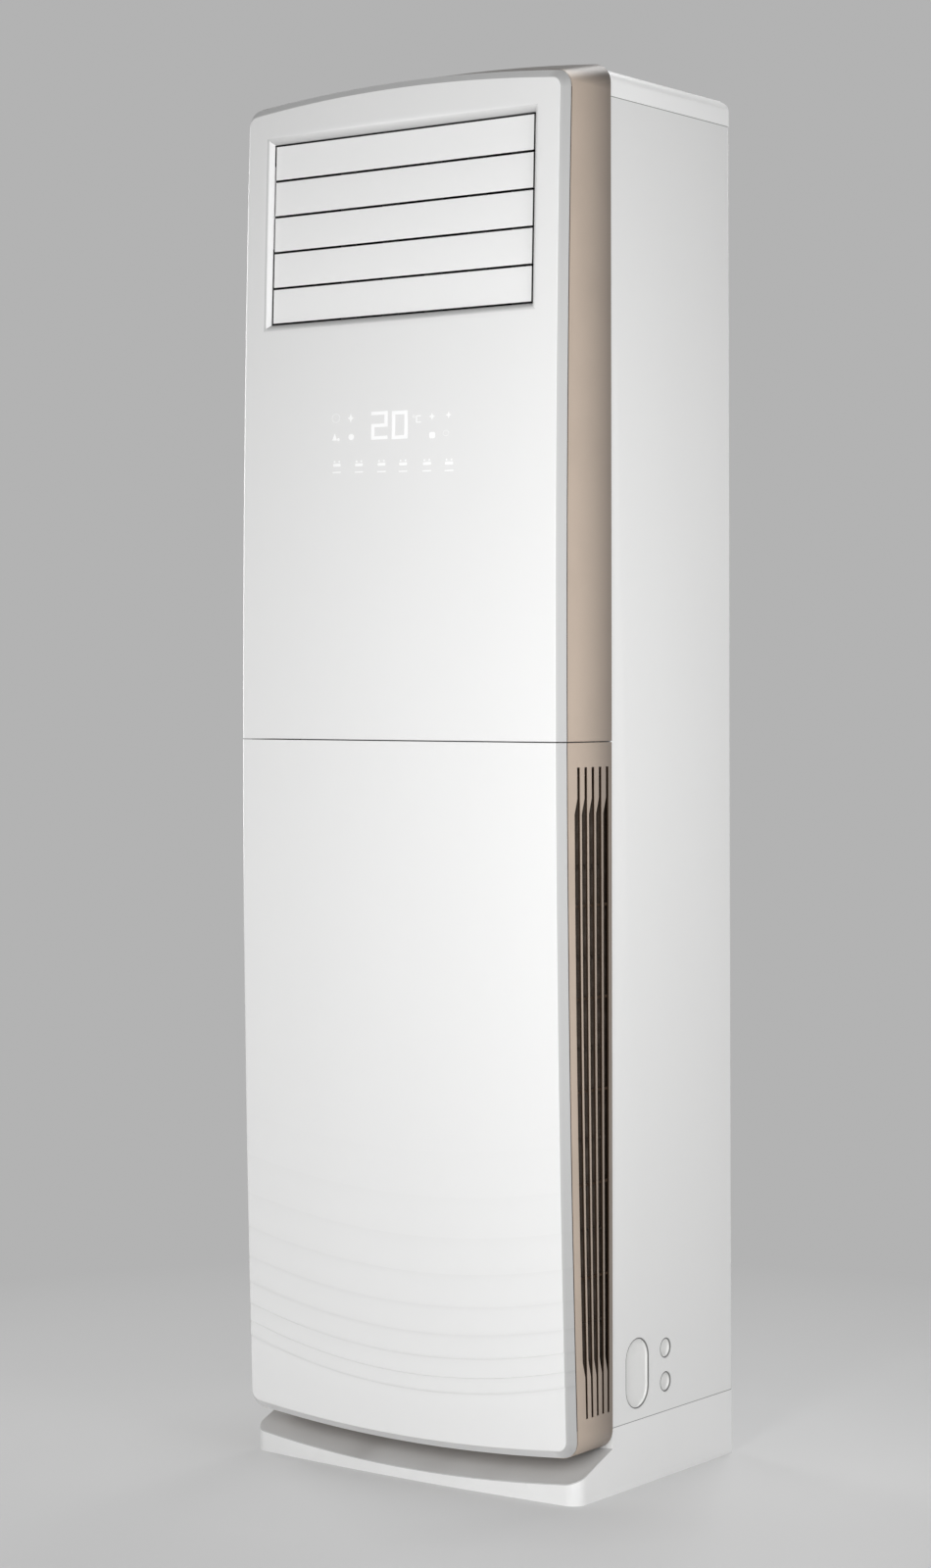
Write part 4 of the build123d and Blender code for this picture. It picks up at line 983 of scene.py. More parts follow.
@dataclass(frozen=True)
class FilterGauze(Finish):
    """Fine woven gauze in a dark moulded frame."""

    pitch: float = 0.0018

    def shader(self, sheet: ShaderSheet) -> bpy.types.NodeSocket:
        """Lay the finish out on its sheet.

        Args:
            sheet: The sheet of the finish's material.

        Returns:
            The surface shader.
        """
        up = sheet.axis("Z").ridge(self.pitch)
        along = sheet.axis("Y").ridge(self.pitch)
        thread = up.maximum(along).spread(0.55, 0.85, 0.0, 1.0)
        fluff = sheet.noise(60.0, 4.0)
        hole = tuple(0.35 * c for c in self.colour)
        lint = tuple(c + 0.05 for c in self.colour)
        woven = sheet.blend(thread, hole, self.colour)
        return sheet.surface(
            Base_Color=sheet.blend(fluff.spread(0.45, 0.8, 0.0, 0.6), woven, lint),
            Roughness=fluff.spread(0.3, 0.7, 0.55, 0.75),
            Normal=sheet.bump(thread, 0.0003),
        )


@dataclass(frozen=True)
class SolderMask(Finish):
    """Circuit board lacquer with copper tracks and pads below it."""

    track: float = 0.0045

    def shader(self, sheet: ShaderSheet) -> bpy.types.NodeSocket:
        """Lay the finish out on its sheet.

        Args:
            sheet: The sheet of the finish's material.

        Returns:
            The surface shader.
        """
        run = sheet.axis("X").ridge(self.track) > 0.72
        cross = sheet.axis("Z").ridge(self.track * 1.6) > 0.8
        region = sheet.noise(45.0, 1.0) > 0.5
        tracks = run * region + cross * (1.0 - region)
        pad, _ = sheet.cells(170.0)
        lighter = tuple(1.7 * c + 0.02 for c in self.colour)
        board = sheet.blend(tracks, self.colour, lighter)
        return sheet.surface(
            Base_Color=sheet.blend(pad < 0.16, board, (0.62, 0.60, 0.55)),
            Roughness=pad.spread(0.1, 0.3, 0.25, 0.38),
            Normal=sheet.bump(tracks, 0.00006),
        )


@dataclass(frozen=True)
class RibbedHose(Finish):
    """Soft corrugated hose with a dull skin."""

    pitch: float = 0.0045

    def shader(self, sheet: ShaderSheet) -> bpy.types.NodeSocket:
        """Lay the finish out on its sheet.

        Args:
            sheet: The sheet of the finish's material.

        Returns:
            The surface shader.
        """
        rib = sheet.axis("Z").ridge(self.pitch)
        grime = sheet.noise(40.0, 4.0)
        dark = tuple(0.7 * c for c in self.colour)
        return sheet.surface(
            Base_Color=sheet.blend(grime.spread(0.4, 0.8, 0.0, 0.7), self.colour, dark),
            Roughness=grime.spread(0.3, 0.7, 0.5, 0.68),
            Normal=sheet.bump(rib, 0.0009),
        )


@dataclass(frozen=True)
class LitWhite(Finish):
    """White light of a display behind its translucent front."""

    strength: float = 0.24

    @property
    def in_record(self) -> bool:
        """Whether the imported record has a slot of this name."""
        return False

    def shader(self, sheet: ShaderSheet) -> bpy.types.NodeSocket:
        """Lay the finish out on its sheet.

        Args:
            sheet: The sheet of the finish's material.

        Returns:
            The surface shader.
        """
        flicker = sheet.noise(900.0, 2.0)
        bright = tuple(1.02 * c for c in self.colour)
        glow = sheet.blend(flicker.spread(0.3, 0.7, 0.0, 1.0), self.colour, bright)
        return sheet.surface(
            Base_Color=glow,
            Roughness=flicker.spread(0.3, 0.7, 0.22, 0.3),
            Emission_Color=glow,
            Emission_Strength=self.strength,
        )


@dataclass(frozen=True)
class StudioFloor(Finish):
    """Plain pale floor with a trace of cloudiness, which runs into the backdrop."""

    backdrop: Colour
    near: float = 0.5
    far: float = 1.5
    least: float = 0.4

    def shader(self, sheet: ShaderSheet) -> bpy.types.NodeSocket:
        """Lay the finish out on its sheet.

        Args:
            sheet: The sheet of the finish's material.

        Returns:
            The surface shader.
        """
        cloud = sheet.noise(1.4, 3.0)
        shade = tuple(0.985 * c for c in self.colour)
        floor = sheet.surface(
            Base_Color=sheet.blend(cloud.spread(0.35, 0.65, 0.0, 1.0), self.colour, shade),
            Roughness=cloud.spread(0.3, 0.7, 0.6, 0.7),
        )
        away = (sheet.axis("X") ** 2.0 + sheet.axis("Y") ** 2.0) ** 0.5
        factor = away.spread(self.near, self.far, self.least, 1.0) * sheet.seen_directly()
        return sheet.either(factor, floor, sheet.glow(self.backdrop))


class Tone(Enum):
    """The finish of each slot of the record."""

    PLINTH = PlinthMoulding("plinth_plastic", (0.84, 0.84, 0.836), 0.34, 0.000002)
    SIDES = PowderCoat("white_steel", (0.80, 0.80, 0.795), 0.36, (0.084, 1.7815))
    ZINC = ZincSheet("galvanised", (0.62, 0.64, 0.65))
    SCREWS = DrawnMetal("screw_steel", (0.66, 0.66, 0.66), 0.25)
    COVER = SatinMoulding("cover_plastic", (0.95, 0.95, 0.945), 0.34, 0.000002)
    TRIM = MetallicPaint("champagne", (0.61, 0.50, 0.41))
    FRONT = FaceMoulding("front_white", (0.86, 0.86, 0.856), 0.44, 0.12)
    GAUZE = FilterGauze("filter_black", (0.052, 0.032, 0.018))
    DISHES = DishMoulding("white_plastic", (0.80, 0.80, 0.79), 0.4, 0.000002)
    DUCT = SatinMoulding("duct_black", (0.045, 0.045, 0.047), 0.5, 0.00003, 1500.0, 0.03)
    CANS = DrawnMetal("stepper_steel", (0.60, 0.61, 0.62), 0.3, (0.04, 1.0, 1.0))
    WHEEL = SatinMoulding("wheel_plastic", (0.14, 0.15, 0.16), 0.5, 0.00003, 1200.0, 0.08)
    FINS = FinStack("fin_aluminium", (0.75, 0.77, 0.78))
    PIPES = DrawnMetal("copper", (0.72, 0.40, 0.26), 0.3, (1.0, 1.0, 0.03), 0.5)
    NUTS = DrawnMetal("nut_brass", (0.70, 0.55, 0.28), 0.25, (1.0, 1.0, 1.0), 0.2)
    HOSE = RibbedHose("hose_grey", (0.55, 0.55, 0.54))
    BOARD = SolderMask("board_green", (0.06, 0.24, 0.12))
    TERMINALS = SatinMoulding("terminal_cream", (0.72, 0.68, 0.55), 0.5)
    LOUVERS = LouverMoulding("louver_white", (0.94, 0.94, 0.936), 0.42, 0.2)
    LIT = LitWhite("display_light", (0.85, 0.85, 0.85))

    @staticmethod
    def of_slot(slot: str) -> "Tone":
        """The finish of one slot of the record."""
        return next(tone for tone in Tone if tone.value.slot == slot)


# ------------------------------------------------------------------ mesh helpers
def new_piece(name: str, bm: bmesh.types.BMesh, body: str, tone: Tone) -> bpy.types.Object:
    """Turn a finished bmesh into a piece that rides on a body.

    Args:
        name: The piece's name.
        bm: Its mesh, which is freed.
        body: The body that it moves with.
        tone: Its finish.

    Returns:
        The piece.
    """
    mesh = bpy.data.meshes.new(name)
    bm.to_mesh(mesh)
    bm.free()
    mesh.shade_smooth()
    mesh.materials.append(tone.value.material())
    piece = bpy.data.objects.new(name, mesh)
    bpy.context.scene.collection.objects.link(piece)
    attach(piece, body)
    LOG.info("%s: %d faces on %s", name, len(mesh.polygons), body)
    return piece


def soften(piece: bpy.types.Object, width: float, angle: float = 30.0, segments: int = 2) -> None:
    """Round a piece's sharp edges with a live bevel.

    Args:
        piece: The piece.
        width: Bevel width in metres.
        angle: Edges sharper than this many degrees are rounded.
        segments: Steps of the rounding.
    """
    bevel = piece.modifiers.new("edge_rounding", "BEVEL")
    bevel.width = width
    bevel.segments = segments
    bevel.limit_method = "ANGLE"
    bevel.angle_limit = math.radians(angle)
    bevel.harden_normals = True
    bevel.use_clamp_overlap = True


def smooth_by_angle(mesh: bpy.types.Mesh, angle: float) -> None:
    """Mark edges sharper than an angle as sharp and shade the rest smooth.

    Args:
        mesh: The mesh.
        angle: The angle in degrees.
    """
    mesh.shade_smooth()
    mesh.set_sharp_from_angle(angle=math.radians(angle))


# ------------------------------------------------------------------------ studio
@dataclass(frozen=True)
class Lamp:
    """One rectangular soft lamp: its middle, the point it faces, its two sides and its power."""

    name: str
    at: Place
    to: Place
    size: tuple[float, float]
    watts: float

    def hang(self) -> None:
        """Add the lamp to the scene."""
        data = bpy.data.lights.new(self.name, "AREA")
        data.shape = "RECTANGLE"
        data.size, data.size_y = self.size
        data.energy = self.watts
        lamp = bpy.data.objects.new(self.name, data)
        bpy.context.scene.collection.objects.link(lamp)
        aim = Vector(self.to) - Vector(self.at)
        lamp.rotation_euler = aim.to_track_quat("-Z", "Y").to_euler()
        lamp.location = Vector(self.at)


@dataclass
class Studio:
    """Camera, soft lamps, world and floor."""

    camera_at: Place = (2.5602, -3.5175, 1.0223)
    looks_along: Place = (-0.5967, 0.8018, 0.0312)
    lens: float = 74.16
    sensor: float = 36.0
    shift: tuple[float, float] = (0.0095, -0.1258)
    floor_size: float = 60.0
    world_light: Colour = (0.17, 0.17, 0.17)
    backdrop: Colour = (0.45, 0.45, 0.45)
    floor_colour: Colour = (0.74, 0.74, 0.74)
    lamps: tuple[Lamp, ...] = (
        Lamp("front_lamp", (-1.23, -3.38, 1.2), (0.0, -0.2, 0.9), (1.9, 1.9), 11.0),
        Lamp("strip_lamp", (0.68, -1.85, 1.0), (0.1, -0.2, 0.95), (0.35, 1.5), 14.4),
        Lamp("side_lamp", (1.15, -0.35, 1.12), (0.26, 0.0, 1.12), (0.5, 1.5), 5.6),
        Lamp("fill_lamp", (2.7, -2.0, 1.25), (0.2, -0.1, 0.9), (2.6, 1.7), 31.0),
        Lamp("low_lamp", (-0.5, -2.2, 0.5), (0.0, -0.2, 0.3), (1.4, 0.4), 1.6),
        Lamp("back_lamp", (-0.6, 3.4, 2.0), (0.0, 0.1, 0.9), (1.8, 1.8), 34.0),
        Lamp("left_lamp", (-3.0, 1.0, 1.4), (-0.26, 0.1, 0.9), (1.2, 1.7), 34.0),
        Lamp("top_lamp", (0.1, 1.3, 3.5), (0.0, 0.0, 1.8), (1.2, 1.2), 20.0),
    )

    def place_camera(self) -> None:
        """Put the camera where the photograph was taken from."""
        data = bpy.data.cameras.new("camera")
        data.lens = self.lens
        data.sensor_width = self.sensor
        data.shift_x, data.shift_y = self.shift
        data.dof.use_dof = False
        camera = bpy.data.objects.new("camera", data)
        bpy.context.scene.collection.objects.link(camera)
        along = Vector(self.looks_along).normalized()
        camera.rotation_euler = along.to_track_quat("-Z", "Y").to_euler()
        camera.location = Vector(self.camera_at)
        bpy.context.scene.camera = camera

    def light(self) -> None:
        """Hang the lamps and set the world's even light."""
        for lamp in self.lamps:
            lamp.hang()
        world = bpy.data.worlds.new("studio_world")
        bpy.context.scene.world = world
        sheet = ShaderSheet(world)
        light = sheet.glow(self.world_light, "ShaderNodeBackground")
        backdrop = sheet.glow(self.backdrop, "ShaderNodeBackground")
        sheet.show(sheet.either(sheet.seen_directly(), light, backdrop))

    def lay_floor(self) -> None:
        """Lay the pale floor."""
        bm = bmesh.new()
        bmesh.ops.create_grid(bm, x_segments=1, y_segments=1, size=self.floor_size / 2)
        mesh = bpy.data.meshes.new("floor")
        bm.to_mesh(mesh)
        bm.free()
        finish = StudioFloor("floor", self.floor_colour, self.backdrop)
        mesh.materials.append(finish.material())
        floor = bpy.data.objects.new("floor", mesh)
        bpy.context.scene.collection.objects.link(floor)

    def build(self) -> None:
        """Set up the whole studio."""
        bpy.context.scene.view_settings.view_transform = "Standard"
        self.place_camera()
        self.light()
        self.lay_floor()
        LOG.info("studio: camera at %s, %d lamps", self.camera_at, len(self.lamps))


# ------------------------------------------------------------------ curved front
class Edge(Enum):
    """Which edge of a front skin a vertex lies on."""

    INSIDE = 0
    FOOT = 1
    SIDE = 2
    TOP = 3
    SEAM = 4
    MOUTH = 5


def draw_out(
    bm: bmesh.types.BMesh,
    edges: list[bmesh.types.BMEdge],
    move: Callable[[bmesh.types.BMVert], Vector],
) -> list[bmesh.types.BMEdge]:
    """Extrude edges and put their new vertices in place.

    Args:
        bm: The mesh.
        edges: The edges that are extruded.
        move: Gives a new vertex its place.

    Returns:
        The new outer edges.
    """
    made = bmesh.ops.extrude_edge_only(bm, edges=edges)["geom"]
    verts = {item for item in made if isinstance(item, bmesh.types.BMVert)}
    outer = [
        item
        for item in made
        if isinstance(item, bmesh.types.BMEdge) and all(v in verts for v in item.verts)
    ]
    places = {vert: move(vert) for vert in verts}
    for vert, place in places.items():
        vert.co = place
    return outer


@dataclass
class FrontSkin:
    """One half of the front: face, bevelled edge and return rim, with its real wall.

    The face is a grid. A column is known by its station, which is 0 in the middle, 1 where the
    right corner starts and 2 where it ends. A row is known by its band of the face and its share
    of the way up that band.
    """

    name: str
    node: str
    body: str
    shift_y: float = 0.0
    seam_z: float = 0.95375
    seam_gap: float = 0.0015
    plain_edge: float = 0.001
    rim_inset: float = 0.0028
    rim_depth: float = 0.022
    wall: float = 0.003
    rounding: float = 0.0009
    face: FrontFace = FrontFace()
    columns: int = 44
    corner_steps: int = 7
    ends: tuple[Edge, Edge] = (Edge.FOOT, Edge.TOP)
    seam_side: float = 0.0

    @property
    def outline(self) -> BowedOutline:
        """The outline of the whole front."""
        return self.face.outline

    def seam_level(self) -> float:
        """Height of this half's edge at the seam."""
        return self.seam_z + self.seam_side * self.seam_gap / 2

    def stations(self) -> list[float]:
        """Work out the stations of the grid's columns.

        Returns:
            The stations, from left to right.
        """
        arch = [i / self.columns for i in range(self.columns + 1)]
        corner = [1 + (i + 1) / self.corner_steps for i in range(self.corner_steps)]
        right = arch + corner
        return [-s for s in reversed(right[1:])] + right

    def rows(self) -> list[tuple[int, float]]:
        """Rows of the grid as a band and a share of it, from the foot up."""
        raise NotImplementedError

    def point(self, station: float, row: tuple[int, float]) -> Place:
        """X, Z and setback of one point of the face."""
        raise NotImplementedError

    def kind(self, column: int, row: int, last_column: int, last_row: int) -> Edge:
        """Tell which edge a grid point lies on.

        Args:
            column: The point's column.
            row: The point's row.
            last_column: The grid's last column.
            last_row: The grid's last row.

        Returns:
            The edge.
        """
        if row in (0, last_row):
            return self.ends[bool(row)]
        return Edge.SIDE if column in (0, last_column) else Edge.INSIDE

    def laid(self, x: float, z: float, depth: float) -> Vector:
        """A point behind the face."""
        return Vector((x, self.face.y_at(x, z) + depth + self.shift_y, z))

    def ring_place(
        self, kind: Edge, station: float, z: float, inset: float, depth: float
    ) -> Vector:
        """Place of an edge vertex on a ring around the face.

        Args:
            kind: The edge that it belongs to.
            station: Its station.
            z: Its height, for the straight sides.
            inset: The ring's distance inside the outline.
            depth: The ring's distance behind the face.

        Returns:
            The place.
        """
        x = math.copysign(self.outline.half - inset, station)
        if kind in (Edge.FOOT, Edge.TOP):
            x, z = self.outline.edge(station, inset, kind is Edge.TOP)
        return self.laid(x, z, depth)

    def grid(self) -> tuple[bmesh.types.BMesh, Layer, Layer]:
        """Lay the face out as a grid.

        Returns:
            The mesh and the layers that hold each vertex's station and edge.
        """
        stations, rows = self.stations(), self.rows()
        wide, tall = len(stations) - 1, len(rows) - 1
        bm = bmesh.new()
        station_of = bm.verts.layers.float.new("station")
        edge_of = bm.verts.layers.int.new("edge")
        bmesh.ops.create_grid(bm, x_segments=wide, y_segments=tall, size=1.0)
        for vert in bm.verts:
            column = round((vert.co.x + 1) / 2 * wide)
            row = round((vert.co.y + 1) / 2 * tall)
            x, z, setback = self.point(stations[column], rows[row])
            vert[station_of] = stations[column]
            vert[edge_of] = self.kind(column, row, wide, tall).value
            vert.co = self.laid(x, z, setback)
        return bm, station_of, edge_of

    def open_up(self, bm: bmesh.types.BMesh, station_of: Layer, edge_of: Layer) -> None:
        """Cut the openings of this half, which has none unless it says so."""

    def add_rim(self, bm: bmesh.types.BMesh, station_of: Layer, edge_of: Layer) -> None:
        """Add the bevel, its plain edge and the return rim around the grid.

        Args:
            bm: The mesh.
            station_of: The layer of the vertices' stations.
            edge_of: The layer of the vertices' edges.
        """
        seam, mouth = Edge.SEAM.value, Edge.MOUTH.value
        outer = [
            edge
            for edge in bm.edges
            if edge.is_boundary
            and mouth not in {vert[edge_of] for vert in edge.verts}
            and not all(abs(vert.co.z - self.seam_level()) < SAME_PLACE for vert in edge.verts)
        ]
        bevel = self.outline.bevel
        rings = (
            (0.0, bevel),
            (0.0, bevel + self.plain_edge),
            (self.rim_inset, bevel + self.plain_edge),
            (self.rim_inset, self.rim_depth),
        )
        for inset, depth in rings:
            outer = draw_out(
                bm,
                outer,
                lambda vert: self.ring_place(
                    Edge.SIDE if vert[edge_of] == seam else Edge(vert[edge_of]),
                    vert[station_of],
                    vert.co.z,
                    inset,
                    depth,
                ),
            )

    def finish(self, bm: bmesh.types.BMesh) -> bpy.types.Object:
        """Give the skin its wall and finish, and let it stand for its node.

        Args:
            bm: The skin's outer face, which is freed.

        Returns:
            The piece.
        """
        bmesh.ops.remove_doubles(bm, verts=bm.verts, dist=SAME_PLACE)
        bmesh.ops.recalc_face_normals(bm, faces=bm.faces)
        if sum(face.normal.y * face.calc_area() for face in bm.faces) > 0:
            bmesh.ops.reverse_faces(bm, faces=bm.faces)
        piece = new_piece(self.name, bm, self.body, Tone.FRONT)
        wall = piece.modifiers.new("wall", "SOLIDIFY")
        wall.thickness = self.wall
        wall.offset = -1.0
        wall.use_even_offset = True
        soften(piece, self.rounding, 25.0, 3)
        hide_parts(self.node)
        return piece

    def build(self) -> bpy.types.Object:
        """Build this half of the front.

        Returns:
            The piece.
        """
        bm, station_of, edge_of = self.grid()
        self.open_up(bm, station_of, edge_of)
        self.add_rim(bm, station_of, edge_of)
        return self.finish(bm)


@dataclass
class LowerSkin(FrontSkin):
    """Lower front with its wave relief."""

    ripples: Ripples = Ripples()
    foot_rows: int = 14
    band_rows: int = 7
    upper_rows: int = 60
    ends: tuple[Edge, Edge] = (Edge.FOOT, Edge.SEAM)
    seam_side: float = -1.0

    def rows(self) -> list[tuple[int, float]]:
        """Work out the rows of the grid, which crowd where the relief is steep.

        Returns:
            Each row as the arc below it, or -1, and its share of the way to the next, from the
            foot up.
        """
        rows = [(-1, i / self.foot_rows) for i in range(self.foot_rows)]
        rows.append((-1, self.ripples.foot_step_from))
        last = self.ripples.count - 1
        for band in range(last):
            steps = self.band_rows + band // 2
            rows += [(band, self.ripples.step_from * i / steps) for i in range(steps + 1)]
        return rows + [(last, i / self.upper_rows) for i in range(self.upper_rows + 1)]

    def point(self, station: float, row: tuple[int, float]) -> Place:
        """Work out one point of the face.

        Args:
            station: Its station.
            row: Its row.

        Returns:
            Its X, its Z and how far it lies back.
        """
        x, foot = self.outline.edge(station, self.outline.bevel, False)
        band, share = row
        low = foot if band < 0 else self.ripples.arc_z(band, x)
        last = band == self.ripples.count - 1
        high = self.seam_level() if last else self.ripples.arc_z(band + 1, x)
        relief = 0.0 if last else self.ripples.relief(band, share)
        return x, low + share * (high - low), relief


@dataclass
class UpperSkin(FrontSkin):
    """Upper front with the bevelled mouth of the air outlet."""

    outlet: Outlet = Outlet()
    cone_depth: float = 0.0088
    cone_side: float = 0.010
    cone_top: float = 0.0094
    cone_foot: float = 0.0086
    lining: float = 0.003
    wall_curve: float = 1.8
    height_tries: int = 6
    width_tries: int = 4
    mouth_steps: int = 6
    band_rows: tuple[int, int, int] = (70, 30, 10)
    ends: tuple[Edge, Edge] = (Edge.SEAM, Edge.TOP)
    seam_side: float = 1.0

    def on_outlet(self, x: float, up: float, out: float) -> Vector:
        """Turn a place on the louver plane into one of the scene.

        Args:
            x: The place across the outlet.
            up: Its distance up the plane from the outlet's middle.
            out: Its distance out of the plane.

        Returns:
            The place.
        """
        scale = 1 / math.hypot(1.0, self.outlet.lean)
        y = self.outlet.y + (self.outlet.lean * up - out) * scale
        z = self.outlet.z + (up + self.outlet.lean * out) * scale
        return Vector((x, y + self.shift_y, z))

    def depth_at(self, x: float, z: float) -> float:
        """Work out how far the face stands out of the louver plane.

        Args:
            x: The place across the front.
            z: The place's height.

        Returns:
            The distance.
        """
        scale = 1 / math.hypot(1.0, self.outlet.lean)
        gap = self.outlet.y - self.face.y_at(x, z)
        return (gap + self.outlet.lean * (z - self.outlet.z)) * scale

    def mouth_z(self, x: float, upper: bool) -> float:
        """Close in on the height of the mouth's upper or lower edge on the face.

        Args:
            x: The place across the front.
            upper: The upper edge instead of the lower one.

        Returns:
            The height.
        """
        z = self.outlet.z
        for _ in range(self.height_tries):
            share = self.depth_at(x, z) / self.cone_depth
            reach = self.outlet.half_tall + share * (self.cone_top if upper else self.cone_foot)
            up = reach if upper else -reach
            z = self.on_outlet(x, up, share * self.cone_depth).z
        return z

    def mouth_x(self, z: float) -> float:
        """Close in on the half width of the mouth on the face.

        Args:
            z: The height.

        Returns:
            The half width there.
        """
        x = self.outlet.half_wide
        for _ in range(self.width_tries):
            x = self.outlet.half_wide + self.depth_at(x, z) / self.cone_depth * self.cone_side
        return x

    def rows(self) -> list[tuple[int, float]]:
        """Work out the rows of the grid: below, beside and above the mouth.

        Returns:
            Each row as its band and its share of it, from the seam up.
        """
        rows = []
        for band, steps in enumerate(self.band_rows):
            rows += [(band, i / steps) for i in range(steps)]
        return rows + [(len(self.band_rows) - 1, 1.0)]

    def mouth_station(self) -> float:
        """The station of the grid column that follows the mouth's side."""
        plain = self.outline.edge(1.0, self.outline.bevel, True)[0]
        return round(self.mouth_x(self.outlet.z) / plain * self.columns) / self.columns

    def point(self, station: float, row: tuple[int, float]) -> Place:
        """Work out one point of the face, in columns that lean to follow the mouth's sides.

        Args:
            station: Its station.
            row: Its row.

        Returns:
            Its X, its Z and how far it lies back.
        """
        x, top = self.outline.edge(station, self.outline.bevel, True)
        side = self.mouth_station()
        band, share = row
        level = (-1.0, 2 * share - 1, 1.0)[band]
        plain = self.outline.edge(1.0, self.outline.bevel, True)[0]
        shift = self.mouth_x(self.outlet.z + level * self.outlet.half_tall) - side * plain
        nearness = max(0.0, 1 - abs(abs(station) - side) / (1 - side))
        x += shift * nearness * (math.copysign(1.0, station) if station else 0.0)
        levels = [self.seam_level(), self.mouth_z(x, False), self.mouth_z(x, True), top]
        low, high = levels[band], levels[band + 1]
        return x, low + share * (high - low), 0.0

    def open_up(self, bm: bmesh.types.BMesh, station_of: Layer, edge_of: Layer) -> None:
        """Take the faces of the mouth out and line it down to the louver plane.

        Args:
            bm: The mesh.
            station_of: The layer of the vertices' stations.
            edge_of: The layer of the vertices' edges.
        """
        side = self.mouth_station()

        def inside(face: bmesh.types.BMFace) -> bool:
            """Tell whether a grid face lies in the mouth.

            Args:
                face: The face.

            Returns:
                Whether it does.
            """
            middle = face.calc_center_median()
            station = sum(abs(v[station_of]) for v in face.verts) / len(face.verts)
            low, high = self.mouth_z(middle.x, False), self.mouth_z(middle.x, True)
            return station < side and low < middle.z < high

        gone = [face for face in bm.faces if inside(face)]
        bmesh.ops.delete(bm, geom=gone, context="FACES")
        edges = [
            edge
            for edge in bm.edges
            if edge.is_boundary and all(v[edge_of] == Edge.INSIDE.value for v in edge.verts)
        ]
        rim = list(dict.fromkeys(vert for edge in edges for vert in edge.verts))
        for vert in rim:
            vert[edge_of] = Edge.MOUTH.value
        mouth = {vert: self.mouth_foot(vert.co) for vert in rim}
        start = {vert: vert.co.copy() for vert in rim}
        roots = {vert: vert for vert in rim}
        for step in range(1, self.mouth_steps + 1):
            share = step / self.mouth_steps
            edges, roots = self.draw_in(
                bm, edges, roots, lambda root: self.sunk(start[root], mouth[root], share)
            )
        self.draw_in(bm, edges, roots, lambda root: self.on_outlet(*mouth[root], -self.lining))

    def draw_in(
        self,
        bm: bmesh.types.BMesh,
        edges: list[bmesh.types.BMEdge],
        roots: dict[bmesh.types.BMVert, bmesh.types.BMVert],
        place: Callable[[bmesh.types.BMVert], Vector],
    ) -> tuple[list[bmesh.types.BMEdge], dict[bmesh.types.BMVert, bmesh.types.BMVert]]:
        """Extrude one ring of the mouth further in.

        Args:
            bm: The mesh.
            edges: The edges of the last ring.
            roots: Each vertex of the last ring and its vertex on the face.
            place: Gives the place for a vertex from the one on the face.

        Returns:
            The new ring's edges and its vertices with theirs on the face.
        """
        before = {vert.co.copy().freeze(): root for vert, root in roots.items()}
        made = bmesh.ops.extrude_edge_only(bm, edges=edges)["geom"]
        fresh = [item for item in made if isinstance(item, bmesh.types.BMVert)]
        after = {vert: before[vert.co.copy().freeze()] for vert in fresh}
        ring = [
            item
            for item in made
            if isinstance(item, bmesh.types.BMEdge) and all(v in after for v in item.verts)
        ]
        for vert, root in after.items():
            vert.co = place(root)
        return ring, after

    def mouth_foot(self, place: Vector) -> tuple[float, float]:
        """Work out where a vertex of the mouth's edge ends on the louver plane.

        Args:
            place: The vertex's place on the face.

        Returns:
            Its X and its distance up the louver plane.
        """
        low, high = self.mouth_z(place.x, False), self.mouth_z(place.x, True)
        x = place.x / self.mouth_x(place.z) * self.outlet.half_wide
        return x, (2 * (place.z - low) / (high - low) - 1) * self.outlet.half_tall

    def sunk(self, start: Vector, foot: tuple[float, float], share: float) -> Vector:
        """A point of the mouth's soft wall, which leaves the face in a curve and gets steeper.

        Args:
            start: The place on the face.
            foot: Its end on the louver plane.
            share: 0 on the face, 1 on the louver plane.

        Returns:
            The place.
        """
        end = self.on_outlet(*foot, 0.0)
        x = start.x + (end.x - start.x) * share
        z = start.z + (end.z - start.z) * share
        plain = self.face.y_at(x, z) + self.shift_y
        return Vector((x, plain + (end.y - plain) * share**self.wall_curve, z))


# ----------------------------------------------------------------------- display
class Shape(Enum):
    """Outline of one lit mark."""

    BAR = "bar"
    DISC = "disc"
    RING = "ring"
    STAR = "star"
    DROP = "drop"


@dataclass(frozen=True)
class Mark:
    """One lit mark: its middle, width, height and shape, in millimetres."""

    x: float
    z: float
    wide: float
    tall: float
    shape: Shape = Shape.BAR
    round_sides: int = 20
    corner_share: float = 0.28
    corner_steps: int = 3
    star_waist: float = 0.38
    ring_share: float = 0.3

    def add(self, bm: bmesh.types.BMesh) -> None:
        """Add the mark as flat faces in the plane of the front.

        Args:
            bm: The mesh that it is added to.
        """
        narrow = min(self.wide, self.tall)
        if self.shape is Shape.BAR:
            made = bmesh.ops.create_grid(bm, x_segments=1, y_segments=1, size=0.5)["verts"]
        else:
            sides = {Shape.STAR: 8, Shape.DROP: 3}.get(self.shape, self.round_sides)
            made = bmesh.ops.create_circle(bm, cap_ends=True, segments=sides, radius=0.5)["verts"]
        if self.shape is Shape.STAR:
            for vert in made[1::2]:
                vert.co *= self.star_waist
        for vert in made:
            flat = vert.co.copy()
            vert.co = Vector((self.x + flat.x * self.wide, 0.0, self.z + flat.y * self.tall))
        if self.shape is Shape.BAR:
            bmesh.ops.bevel(
                bm,
                geom=made,
                offset=narrow * self.corner_share,
                segments=self.corner_steps,
                profile=0.5,
                affect="VERTICES",
                material=-1,
            )
        if self.shape is Shape.RING:
            faces = list({face for vert in made for face in vert.link_faces})
            width = narrow * self.ring_share
            bmesh.ops.inset_region(bm, faces=faces, thickness=width, use_boundary=True)
            bmesh.ops.delete(bm, geom=faces, context="FACES")


